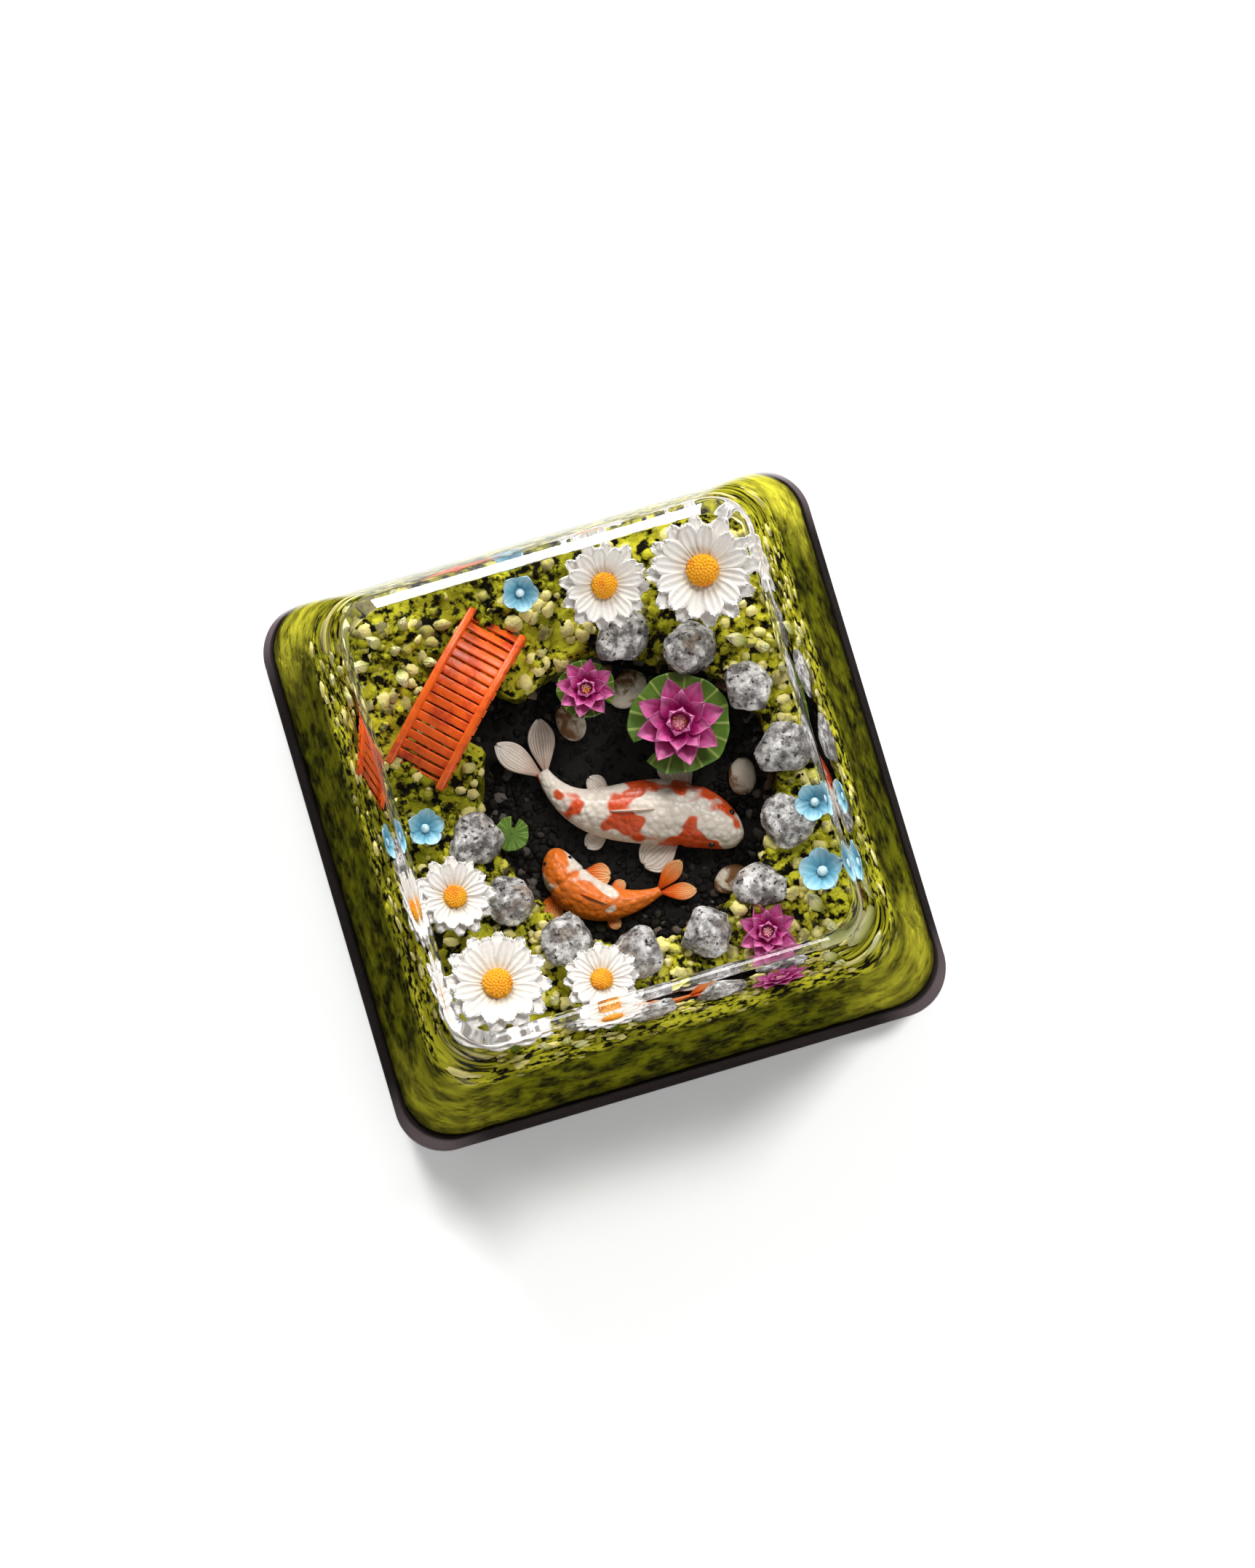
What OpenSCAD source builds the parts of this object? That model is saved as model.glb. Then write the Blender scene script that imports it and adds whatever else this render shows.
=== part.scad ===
// Clear cast keycap with a koi pond garden set into it.
// Millimetres, +Z up, origin at the centre of the rim face, +Y towards the back of the keyboard.

/* [Cap] */
// Width of the cap at its rim, along X
cap_w = 18.1; // [17.8:0.1:18.5]
// Depth of the cap at its rim, along Y
cap_d = 18.1; // [17.8:0.1:18.5]
// Height of the cap, rim to top face
cap_h = 11.5; // [11:0.1:12.5]
// Width of the top, bevel included, along X
top_w = 12.9; // [12.5:0.1:13.5]
// Depth of the top, bevel included, along Y
top_d = 14.1; // [13.7:0.1:14.7]
// Corner radius at the rim
rim_corner_r = 1.6; // [1.2:0.1:2]
// Corner radius round the top
top_corner_r = 1.3; // [1:0.1:1.6]
// Bevel between the top face and the sides
bevel = 0.4; // [0.2:0.05:0.5]
// Height of the fullest part of the sides
belly_z = 5.0; // [4:0.1:6]
// How far the sides bow out at that height
belly = 0.12; // [0.05:0.01:0.2]
// Clear resin between the garden and the outside
clear_wall = 0.7; // [0.6:0.05:0.9]

/* [Core] */
// Width of the hollow at the rim
hollow_w = 13.9; // [13.5:0.1:14.2]
// How much the hollow narrows on each side up to its roof
hollow_draft = 0.08; // [0.04:0.02:0.2]
// Corner radius of the hollow
hollow_r = 1.0; // [0.6:0.1:1.6]
// Depth of the hollow
hollow_depth = 4.6; // [4.4:0.1:4.8]
// Resin between the hollow and the pond bed
roof_t = 0.8; // [0.7:0.05:1.2]
// Height of the bare lip under the moss
lip_h = 1.4; // [1:0.1:2]
// Clear resin round the lip
lip_wall = 0.2; // [0.15:0.05:0.4]
// Diameter of the stem post
post_d = 5.6; // [5.4:0.05:5.8]
// How far the post stops short of the rim
post_recess = 0.8; // [0.4:0.1:1.2]
// Size of the splay at the root of the post
post_splay = 0.4; // [0.2:0.05:0.45]
// Length of both slots of the cross socket
cross_l = 4.1; // [4:0.02:4.2]
// Width of the slot that runs along X
cross_t_x = 1.17; // [1.1:0.01:1.3]
// Width of the slot that runs along Y
cross_t_y = 1.32; // [1.2:0.01:1.4]
// Depth of the cross socket
cross_depth = 4.0; // [3.6:0.1:4.1]
// Lead-in round the mouth of the cross socket
cross_lead = 0.2; // [0.1:0.05:0.3]

/* [Bank] */
// Width of the bank's top that the garden is laid out on
garden_w = 12.8; // [12.4:0.1:12.8]
// Depth of the bank's top that the garden is laid out on
garden_d = 13.6; // [13.2:0.1:13.6]
// Thickness of the moss on the sides of the core
moss_t = 0.25; // [0.15:0.05:0.3]
// Height of the bank above the pond bed
bank_h = 1.9; // [1.8:0.05:2.3]
// Round shoulder of the bank
shoulder = 0.6; // [0.3:0.1:0.8]
// Radius of the pond
pond_r = 4.5; // [4.3:0.1:4.6]
// Centre of the pond, along X
pond_x = 0.7; // [0.5:0.1:0.9]
// Centre of the pond, along Y
pond_y = -0.7; // [-0.9:0.1:-0.5]
// How far the pond's shore wanders in and out
shore = 0.12; // [0:0.02:0.16]
// Direction in which the stream leaves the pond
stream_turn = 135; // [130:1:140]
// Width of the stream under the bridge
stream_w = 1.9; // [1.6:0.1:2.2]

/* [Stones] */
// Clear pond between the shore and the middles of the ring stones
ring_out = 0.35; // [0.2:0.05:0.5]
// Largest half width of a ring stone
stone_r = 0.92; // [0.7:0.02:0.96]
// Height of the ring stones
stone_h = 0.85; // [0.6:0.05:0.95]
// Half length of the pebbles on the pond bed
pebble_r = 0.75; // [0.5:0.05:0.85]

/* [Koi] */
// Half width of the large koi
koi_large_r = 1.02; // [0.8:0.02:1.1]
// Half width of the small koi
koi_small_r = 0.68; // [0.5:0.02:0.75]
// Height of a koi as a share of its width
koi_flat = 0.74; // [0.6:0.02:0.8]
// Height of a koi's middle above the bed that its belly lies on, as a share of its half width
koi_lift = 0.5; // [0.4:0.05:0.6]

/* [Bridge] */
// Straight distance between the ends of the bridge
bridge_span = 5.3; // [5:0.1:5.6]
// Width of the bridge
bridge_w = 2.0; // [1.8:0.1:2.3]
// Rise of the arch
bridge_rise = 0.95; // [0.8:0.05:1.1]
// Thickness of the deck
deck_t = 0.24; // [0.16:0.02:0.3]
// Height of the rails above the deck
rail_h = 0.62; // [0.5:0.02:0.7]
// Thickness of the rails
rail_t = 0.26; // [0.22:0.02:0.3]
// Thickness of the rail posts
post_t = 0.2; // [0.16:0.02:0.2]
// Distance from the shore to the middle of the bridge
bridge_out = 1.5; // [1.3:0.05:1.6]

/* [Flowers] */
// Radius of the largest daisy
daisy_r = 1.75; // [1.5:0.05:1.85]
// Number of petals on a daisy
daisy_petals = 12; // [10:1:14]
// Radius of the largest lotus
lotus_r = 1.35; // [1.2:0.05:1.4]
// Radius of the largest blue blossom
blossom_r = 0.78; // [0.6:0.02:0.84]
// Thickness of the petals
petal_t = 0.16; // [0.12:0.02:0.2]
// Thickness of the stalks
stalk_d = 0.34; // [0.24:0.02:0.4]
// Thickness of the lily pads
pad_t = 0.12; // [0.1:0.02:0.18]
// Thickness of the stems that hold the lily pads
pad_stem_d = 0.24; // [0.18:0.02:0.3]
// Largest thickness of a sprig's leaves
leaf_t = 0.38; // [0.3:0.02:0.44]

/* [Hidden] */
$fn = 24;
pond_bed = hollow_depth + roof_t;
bank_top = pond_bed + bank_h;
bevel_z = cap_h - bevel;
// Thickness of the slabs that the hulls join
slab_t = 0.01;
// How far a piece reaches into the one under it, and how far the core and the bank stand proud.
// Both are nothing, but in the casting's cavity they join what stands on what.
$sunk = 0;
$proud = 0;
cavity_sunk = 0.06;
cavity_proud = 0.002;

// Half width of the outside at a height: straight from the rim to the belly, and on to the bevel
function side(z, rim, top) = lookup(z, [
    [0, rim / 2],
    [belly_z, rim / 2 + (top - rim) / 2 * belly_z / bevel_z + belly],
    [bevel_z, top / 2]]);
function side_x(z) = side(z, cap_w, top_w);
function side_y(z) = side(z, cap_d, top_d);
function side_r(z) = lookup(z, [[0, rim_corner_r], [bevel_z, top_corner_r]]);

// Half width and half depth of the level top of the bank
bank_half_x = side_x(bank_top) - clear_wall - shoulder / 2;
bank_half_y = side_y(bank_top) - clear_wall - shoulder / 2;
// The garden is drawn in to fit where the bank's top is smaller than its layout
fit = min(1, 2 * bank_half_x / garden_w, 2 * bank_half_y / garden_d);
module fitted() {
    scale([fit, fit, 1])
        children();
}
// A place on the bank, in shares of the layout's half width and half depth
function on_bank(p) = [p[0] * garden_w / 2, p[1] * garden_d / 2, bank_top];
// A place in the pond, in shares of its radius
function in_pond(p) = [pond_x + p[0] * pond_r, pond_y + p[1] * pond_r];

// Ring stones: slot on the ring, share of stone_r, turn. The slots left out are the stream's.
STONE_SLOTS = 14;
STONES = [
    [0, 0.94, 10], [1, 0.84, 70], [2, 0.92, 25], [3, 0.94, 130],
    [7, 0.9, 15], [8, 0.86, 100], [9, 0.96, 45],
    [10, 0.88, 160], [11, 0.94, 80], [12, 0.84, 220], [13, 0.96, 60]];
// Pebbles: place in the pond, share of pebble_r, turn
PEBBLES = [[0.2, 0.72, 0.9, 30], [-0.24, 0.62, 0.8, 100], [0.78, -0.07, 0.8, 80], [0.5, -0.72, 0.75, 20]];
// Lily pads: place in the pond, share of pond_r, direction of the notch
PADS = [[0.46, 0.37, 0.35, 200], [-0.08, 0.77, 0.2, 300], [-0.84, -0.03, 0.12, 60]];
// Lotuses on the first pads: share of lotus_r, turn. The last stands on the bank.
PAD_LOTUSES = [[1.0, 0], [0.66, 20]];
BANK_LOTUS = [0.55, -0.87, 0.66, 10];
// Daisies: place on the bank, share of daisy_r, height of the head, tilt, direction of the tilt
DAISIES = [
    [0.74, 0.75, 1.0, 2.0, 14, 230], [0.27, 0.82, 0.8, 1.45, 16, 280],
    [-0.75, -0.77, 0.94, 1.9, 14, 45], [-0.83, -0.34, 0.72, 1.35, 18, 20],
    [-0.27, -0.88, 0.68, 1.3, 16, 80]];
// Blue blossoms: place on the bank, share of blossom_r, height of the head, tilt, its direction
BLOSSOMS = [
    [0.88, -0.69, 1.0, 1.2, 14, 150], [0.94, -0.38, 0.86, 0.95, 12, 180],
    [-0.87, 0.0, 0.84, 0.8, 10, 0], [-0.12, 0.9, 0.84, 0.8, 12, 270]];
// Leaf sprigs: place on the bank, number of leaves, turn
SPRIGS = [[-0.78, 0.81, 6, 0], [0.93, 0.37, 4, 240], [0.86, -0.92, 3, 200], [-0.52, -0.9, 3, 30]];
LOTUS_COUNT = len(PAD_LOTUSES) + 1;

// A thin slab with round corners, at a height
module slab(half_x, half_y, r, z) {
    for (x = [-1, 1], y = [-1, 1])
        translate([x * (half_x - r), y * (half_y - r), z])
            cylinder(r = r, h = slab_t);
}

// The outside of the cap, brought in by a distance, between two heights
module inner_block(inset, z0, z1) {
    r0 = side_r(z0) - inset / 2;
    r1 = side_r(z1) - inset / 2;
    zm = min(max(belly_z, z0), z1 - slab_t);
    hull() {
        slab(side_x(z0) - inset, side_y(z0) - inset, r0, z0);
        slab(side_x(zm) - inset, side_y(zm) - inset, (r0 + r1) / 2, zm);
        slab(side_x(z1) - inset, side_y(z1) - inset, r1, z1 - slab_t);
    }
}

module outside() {
    hull() {
        inner_block(0, 0, bevel_z);
        slab(top_w / 2 - bevel, top_d / 2 - bevel, top_corner_r - bevel / 2, cap_h - slab_t);
    }
}

module core_outside() {
    inner_block(lip_wall, 0, lip_h);
    inner_block(clear_wall + moss_t, lip_h - slab_t, pond_bed + $proud);
}

// The slots of the cross socket, each wider by a margin, up from a height
module cross(margin, z, depth) {
    long = cross_l + 2 * margin;
    for (slot = [[long, cross_t_x + 2 * margin], [cross_t_y + 2 * margin, long]])
        translate([-slot[0] / 2, -slot[1] / 2, z])
            cube([slot[0], slot[1], depth]);
}

module stem_post() {
    post_h = hollow_depth - post_recess;
    translate([0, 0, post_recess])
        cylinder(d = post_d, h = post_h + slab_t);
    translate([0, 0, hollow_depth - post_splay])
        cylinder(d1 = post_d, d2 = post_d + 2 * post_splay, h = post_splay + slab_t);
}

module core() {
    color([0.16, 0.12, 0.09])
        difference() {
            union() {
                difference() {
                    core_outside();
                    hull() {
                        slab(hollow_w / 2, hollow_w / 2, hollow_r, -slab_t);
                        slab(hollow_w / 2 - hollow_draft, hollow_w / 2 - hollow_draft, hollow_r,
                             hollow_depth - slab_t);
                    }
                }
                stem_post();
            }
            cross(0, 0, post_recess + cross_depth);
            cross(cross_lead, 0, post_recess + cross_lead);
        }
}

// Radius of the pond's shore: a circle that wanders
function shore_r(a) = pond_r + shore * (sin(3 * a + 40) + 0.6 * sin(5 * a) + 0.5 * sin(8 * a + 100));

module pond_outline() {
    translate([pond_x, pond_y]) {
        polygon([for (a = [0:10:359]) shore_r(a) * [cos(a), sin(a)]]);
        rotate(stream_turn)
            hull()
                for (x = [0, pond_r + bridge_out])
                    translate([x, 0])
                        circle(d = stream_w);
    }
}

module moss_bank() {
    color([0.42, 0.50, 0.10])
        difference() {
            hull() {
                inner_block(clear_wall, lip_h, bank_top - shoulder);
                slab(bank_half_x, bank_half_y, side_r(bank_top) - clear_wall / 2, bank_top + $proud - slab_t);
            }
            core_outside();
            translate([0, 0, pond_bed - slab_t])
                linear_extrude(bank_h + 3 * slab_t)
                    fitted()
                        pond_outline();
        }
}

// A boulder with a flat foot: a wandering ring of corners at the foot and a smaller one at the crown
module boulder(r, h, turn) {
    foot = [for (i = [0:6]) let (a = i * 360 / 7 + turn)
        r * (0.9 + 0.1 * sin(i * 137 + turn)) * [cos(a), sin(a)]];
    crown = [for (i = [0:4]) let (a = i * 72 + turn + 20)
        r * (0.56 + 0.12 * sin(i * 200 + turn)) * [cos(a), sin(a)]];
    hull() {
        linear_extrude(h * 0.35)
            polygon(foot);
        linear_extrude(h)
            polygon(crown);
    }
}

module stone(i) {
    s = STONES[i - 1];
    color([0.60, 0.59, 0.58]) fitted()
        translate([pond_x, pond_y, bank_top])
            rotate(s[0] * 360 / STONE_SLOTS)
                translate([pond_r + ring_out, 0, 0])
                    boulder(stone_r * s[1], stone_h * (0.8 + 0.2 * sin(s[2])), s[2]);
}

// A smooth river pebble with a flat foot
module pebble(i) {
    p = PEBBLES[i - 1];
    r = pebble_r * p[2];
    color([0.80, 0.70, 0.56]) fitted()
        translate(concat(in_pond(p), [pond_bed]))
            rotate(p[3])
                scale([1, 0.72, 0.5])
                    hull() {
                        cylinder(r = 0.75 * r, h = slab_t, $fn = 9);
                        translate([0, 0, 0.6 * r])
                            cylinder(r = r, h = slab_t, $fn = 9);
                        translate([0, 0, 1.2 * r])
                            cylinder(r = 0.5 * r, h = slab_t, $fn = 9);
                    }
}

// A curve through its first and last points that leans to the two between, and its heading
function bow(p, t) = pow(1 - t, 3) * p[0] + 3 * pow(1 - t, 2) * t * p[1]
    + 3 * (1 - t) * t * t * p[2] + pow(t, 3) * p[3];
function heading(p, t) = let (d = bow(p, min(1, t + 0.01)) - bow(p, max(0, t - 0.01))) atan2(d[1], d[0]);

// Half width of a koi from its nose to the root of its tail, as a share of the widest
KOI_WIDEST = 0.32;
function koi_width(t) = t < KOI_WIDEST
    ? sqrt(1 - pow(1 - t / KOI_WIDEST, 2.2))
    : 0.2 + 0.8 * pow(cos(90 * (t - KOI_WIDEST) / (1 - KOI_WIDEST)), 1.15);
KOI_RINGS = 11;
KOI_SIDES = 8;

// The body: rings of points carried along the koi's line, flat where the belly lies on the bed
module koi_body(line, r) {
    stations = [for (i = [0:KOI_RINGS]) 0.004 + 0.996 * pow(i / KOI_RINGS, 1.2)];
    points = [for (t = stations)
        let (c = bow(line, t), h = heading(line, t), w = r * koi_width(t))
        for (j = [0:KOI_SIDES - 1])
            let (a = j * 360 / KOI_SIDES)
            [c[0] - sin(h) * w * cos(a), c[1] + cos(h) * w * cos(a), max(-koi_lift * r, koi_flat * w * sin(a))]];
    skin = [for (i = [0:KOI_RINGS - 1], j = [0:KOI_SIDES - 1])
        let (k = (j + 1) % KOI_SIDES, a = i * KOI_SIDES, b = a + KOI_SIDES)
        each [[a + j, b + j, b + k], [a + j, b + k, a + k]]];
    nose = [for (j = [0:KOI_SIDES - 1]) j];
    tail = [for (j = [KOI_SIDES - 1:-1:0]) KOI_RINGS * KOI_SIDES + j];
    polyhedron(points, concat(skin, [nose, tail]));
}

// A fin: a thin web between ray tips, set at a station of the body, in shares of its half width
module fin(line, r, t, tips) {
    translate(bow(line, t))
        rotate(heading(line, t))
            hull()
                for (p = tips)
                    translate(r * [p[0], p[1], p[2]])
                        sphere(r = r * p[3], $fn = 4);
}

module koi(line, r) {
    translate([0, 0, pond_bed + koi_lift * r]) {
        koi_body(line, r);
        for (s = [-1, 1]) {
            fin(line, r, 0.24, [[0, s * 0.7, -0.1, 0.1], [0.75, s * 1.75, -0.3, 0.06], [1.15, s * 1.3, -0.34, 0.06]]);
            fin(line, r, 0.24, [[0, s * 0.7, -0.1, 0.1], [0.15, s * 1.7, -0.26, 0.06], [0.75, s * 1.75, -0.3, 0.06]]);
            fin(line, r, 0.6, [[0, s * 0.5, -0.2, 0.09], [0.4, s * 1.15, -0.4, 0.06], [0.75, s * 0.85, -0.4, 0.06]]);
            fin(line, r, 0.97, [[-0.1, 0, 0, 0.13], [1.5, s * 0.95, s * 0.25, 0.06], [0.75, s * 0.5, s * 0.16, 0.07]]);
            fin(line, r, 0.97, [[-0.1, 0, 0, 0.13], [0.75, s * 0.5, s * 0.16, 0.07], [1, 0, 0, 0.06]]);
        }
        fin(line, r, 0.5, [[-0.7, 0, 0.6, 0.08], [0.6, 0, 0.5, 0.07], [-0.2, 0, 0.92, 0.06], [0.5, 0, 0.8, 0.06]]);
    }
}

module koi_large() {
    color([0.93, 0.90, 0.86]) fitted()
        koi([for (p = [[0.63, -0.51], [0.27, 0.09], [-0.36, -0.29], [-0.52, 0.34]]) in_pond(p)], koi_large_r);
}

module koi_small() {
    color([0.92, 0.36, 0.08]) fitted()
        koi([for (p = [[-0.58, -0.18], [-0.66, -0.57], [-0.3, -0.74], [0.02, -0.66]]) in_pond(p)], koi_small_r);
}

// Radius of the upper face of the arch
arch_r = (pow(bridge_span / 2, 2) + pow(bridge_rise, 2)) / (2 * bridge_rise);
RAIL_POSTS = 5;
ARCH_FN = 48;

// Puts its children at the bridge: X along its span, Z up from the bank
module at_bridge() {
    translate([pond_x, pond_y, bank_top])
        rotate(stream_turn)
            translate([pond_r + bridge_out, 0, 0])
                rotate(90)
                    children();
}

// A bar bent to the arch, from r0 to r1 out and y0 to y1 across, cut level with the bank
module arch_bar(r0, r1, y0, y1) {
    intersection() {
        translate([0, y1, bridge_rise - arch_r])
            rotate([90, 0, 0])
                linear_extrude(y1 - y0)
                    difference() {
                        circle(r = r1, $fn = ARCH_FN);
                        circle(r = r0, $fn = ARCH_FN);
                    }
        translate([-bridge_span / 2, -bridge_w, 0])
            cube([bridge_span, 2 * bridge_w, 2 * bridge_rise + rail_h]);
    }
}

module bridge_deck() {
    color([0.90, 0.32, 0.08]) fitted()
        at_bridge()
            arch_bar(arch_r - deck_t, arch_r, -bridge_w / 2, bridge_w / 2);
}

// One rail: a bent top bar on square posts that stand on the deck
module bridge_rail(s) {
    y = s * (bridge_w / 2 - rail_t / 2);
    post_gap = (bridge_span - 3 * rail_t) / (RAIL_POSTS - 1);
    color([0.90, 0.32, 0.08]) fitted()
        at_bridge() {
            arch_bar(arch_r + rail_h - rail_t, arch_r + rail_h, y - rail_t / 2, y + rail_t / 2);
            difference() {
                for (i = [0:RAIL_POSTS - 1]) {
                    x = (i - (RAIL_POSTS - 1) / 2) * post_gap;
                    rise = sqrt(pow(arch_r, 2) - pow(x, 2)) + bridge_rise - arch_r;
                    translate([x - post_t / 2, y - post_t / 2, 0])
                        cube([post_t, post_t, rise + rail_h - rail_t / 2]);
                }
                translate([0, y + rail_t, bridge_rise - arch_r])
                    rotate([90, 0, 0])
                        cylinder(r = arch_r - $sunk, h = 2 * rail_t, $fn = ARCH_FN);
            }
        }
}

// How far a petal reaches from the valleys, along the turn from one valley to the next
ROUND_PETAL = [for (u = [0, 0.16, 0.5, 0.84]) [u, pow(sin(180 * u), 0.35)]];
POINTED_PETAL = [for (u = [0, 0.22, 0.5, 0.78]) [u, 1 - pow(abs(2 * u - 1), 1.5)]];

// The outline of n petals, with valleys at a share of the radius
function rosette(r, n, valley, petal) = [for (k = [1:n], p = petal)
    let (a = (k + p[0] - 0.5) * 360 / n)
    r * (valley + (1 - valley) * p[1]) * [cos(a), sin(a)]];

// A dish with a flat middle and a sloping brim, trimmed to an outline. The hub fills its hole.
// It is turned a little, so that no edge of its facets lies along a petal.
module dish(r, hub_r, middle_r, rise, outline) {
    intersection() {
        rotate(5)
            rotate_extrude($fn = 15)
                polygon([[hub_r / 2, 0], [middle_r, 0], [1.05 * r, rise], [1.05 * r, rise + petal_t],
                         [middle_r, petal_t], [hub_r / 2, petal_t]]);
        translate([0, 0, -petal_t])
            linear_extrude(rise + 3 * petal_t)
                polygon(outline);
    }
}

// Puts its children at a flower's head, where its stalk ends
module at_head(f) {
    translate(on_bank(f) + [0, 0, f[3]])
        rotate(f[5])
            rotate([0, f[4], 0])
                children();
}

module stalk(f) {
    translate(on_bank(f))
        cylinder(d = stalk_d, h = f[3] + petal_t / 2, $fn = 14);
}

// A button that stands on the middle of a flower
module button(r, h) {
    translate([0, 0, -$sunk])
        cylinder(r = r, h = $sunk, $fn = 14);
    cylinder(r1 = r, r2 = 0.75 * r, h = 0.7 * h, $fn = 14);
    translate([0, 0, 0.7 * h])
        cylinder(r1 = 0.75 * r, r2 = 0.3 * r, h = 0.3 * h, $fn = 14);
}

function daisy_hub_r(f) = 0.3 * daisy_r * f[2];
module daisy(i) {
    f = DAISIES[i - 1];
    r = daisy_r * f[2];
    color([0.95, 0.93, 0.90]) fitted() {
        stalk(f);
        at_head(f) {
            dish(r, daisy_hub_r(f), 0.5 * r, 0.15 * r, rosette(r, daisy_petals, 0.45, ROUND_PETAL));
            cylinder(r = daisy_hub_r(f), h = 1.5 * petal_t, $fn = 14);
        }
    }
}

module daisy_eye(i) {
    f = DAISIES[i - 1];
    color([0.95, 0.62, 0.05]) fitted()
        at_head(f)
            translate([0, 0, 1.5 * petal_t])
                button(0.9 * daisy_hub_r(f), 0.55 * daisy_hub_r(f));
}

function blossom_hub_r(f) = 0.28 * blossom_r * f[2];
module blossom(i) {
    f = BLOSSOMS[i - 1];
    r = blossom_r * f[2];
    color([0.35, 0.66, 0.78]) fitted() {
        stalk(f);
        at_head(f) {
            dish(r, blossom_hub_r(f), 0.35 * r, 0.4 * r, rosette(r, 5, 0.6, ROUND_PETAL));
            cylinder(r = blossom_hub_r(f), h = 1.3 * petal_t, $fn = 14);
        }
    }
}

module blossom_eye(i) {
    f = BLOSSOMS[i - 1];
    color([0.85, 0.93, 0.95]) fitted()
        at_head(f)
            translate([0, 0, 1.3 * petal_t])
                button(0.9 * blossom_hub_r(f), 0.65 * blossom_hub_r(f));
}

LOTUS_PETALS = 8;
// A lotus: where it stands, share of lotus_r, turn
function lotus_at(i) = i < LOTUS_COUNT
    ? concat(in_pond(PADS[i - 1]), [bank_top], PAD_LOTUSES[i - 1])
    : concat(on_bank(BANK_LOTUS), [BANK_LOTUS[2], BANK_LOTUS[3]]);
function lotus_hub_r(i) = 0.24 * lotus_r * lotus_at(i)[3];

// A ring of low petals, with a ring of steep ones inside it
module lotus(i) {
    f = lotus_at(i);
    r = lotus_r * f[3];
    inner_r = 0.7 * r;
    color([0.75, 0.10, 0.45]) fitted()
        translate([f[0], f[1], f[2]])
            rotate(f[4]) {
                dish(r, lotus_hub_r(i), 0.35 * r, 0.35 * r,
                     rosette(r, LOTUS_PETALS, 0.5, POINTED_PETAL));
                translate([0, 0, 0.8 * petal_t])
                    rotate(180 / LOTUS_PETALS)
                        dish(inner_r, lotus_hub_r(i), 0.45 * inner_r, 0.7 * inner_r,
                             rosette(inner_r, LOTUS_PETALS, 0.5, POINTED_PETAL));
                cylinder(r = lotus_hub_r(i), h = 2 * petal_t, $fn = 14);
            }
}

module lotus_heart(i) {
    f = lotus_at(i);
    r = lotus_hub_r(i);
    color([0.95, 0.60, 0.75]) fitted()
        translate([f[0], f[1], f[2] + 2 * petal_t - $sunk])
            cylinder(r1 = 0.8 * r, r2 = r, h = 0.9 * r + $sunk, $fn = 14);
}

// A round floating leaf with a notch, its upper face level with the bank, on a stem from the bed
module lily_pad(i) {
    p = PADS[i - 1];
    r = p[2] * pond_r;
    color([0.30, 0.45, 0.12]) fitted()
        translate(concat(in_pond(p), [pond_bed])) {
            translate([0, 0, bank_h - pad_t])
                linear_extrude(pad_t)
                    difference() {
                        circle(r = r);
                        rotate(p[3])
                            polygon([[pad_stem_d, 0], [2 * r, -0.5 * r], [2 * r, 0.5 * r]]);
                    }
            cylinder(d = pad_stem_d, h = bank_h - pad_t / 2, $fn = 13);
        }
}

// A clump of blunt upright leaves, set out on a spiral
module sprig(i) {
    s = SPRIGS[i - 1];
    color([0.66, 0.68, 0.38]) fitted()
        for (k = [0:s[2] - 1]) {
            a = k * 137.5 + s[3];
            out = 1.2 * leaf_t * sqrt(k);
            lean = 12 + 6 * (k % 3);
            h = 0.7 + 0.14 * ((k * 2) % 5);
            tip = h * [sin(lean) * cos(a), sin(lean) * sin(a), 1];
            translate(on_bank(s) + out * [cos(a), sin(a), 0])
                hull() {
                    cylinder(r = 0.3 * leaf_t, h = slab_t, $fn = 5);
                    translate(0.55 * tip)
                        sphere(d = leaf_t, $fn = 5);
                    translate(tip)
                        sphere(r = 0.2 * leaf_t, $fn = 4);
                }
        }
}

// Everything that is set into the clear resin
module garden() {
    core_outside();
    moss_bank();
    koi_large();
    koi_small();
    bridge_deck();
    for (s = [-1, 1]) bridge_rail(s);
    for (i = [1:len(STONES)]) stone(i);
    for (i = [1:len(PEBBLES)]) pebble(i);
    for (i = [1:len(PADS)]) lily_pad(i);
    for (i = [1:LOTUS_COUNT]) lotus(i);
    for (i = [1:LOTUS_COUNT]) lotus_heart(i);
    for (i = [1:len(DAISIES)]) daisy(i);
    for (i = [1:len(DAISIES)]) daisy_eye(i);
    for (i = [1:len(BLOSSOMS)]) blossom(i);
    for (i = [1:len(BLOSSOMS)]) blossom_eye(i);
    for (i = [1:len(SPRIGS)]) sprig(i);
}

module clear_casting() {
    color([0.85, 0.90, 0.90, 0.35])
        difference() {
            outside();
            garden($sunk = cavity_sunk, $proud = cavity_proud);
        }
}

clear_casting();
core();
moss_bank();
koi_large();
koi_small();
bridge_deck();
bridge_rail(1);  // bridge_rail_left
bridge_rail(-1);  // bridge_rail_right
for (i = [1:len(STONES)])
    stone(i);
for (i = [1:len(PEBBLES)])
    pebble(i);
for (i = [1:len(PADS)])
    lily_pad(i);
for (i = [1:LOTUS_COUNT])
    lotus(i);
for (i = [1:LOTUS_COUNT])
    lotus_heart(i);
for (i = [1:len(DAISIES)])
    daisy(i);
for (i = [1:len(DAISIES)])
    daisy_eye(i);
for (i = [1:len(BLOSSOMS)])
    blossom(i);
for (i = [1:len(BLOSSOMS)])
    blossom_eye(i);
for (i = [1:len(SPRIGS)])
    sprig(i);
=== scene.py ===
import math
import bpy
import numpy as np
from mathutils import Matrix


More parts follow.
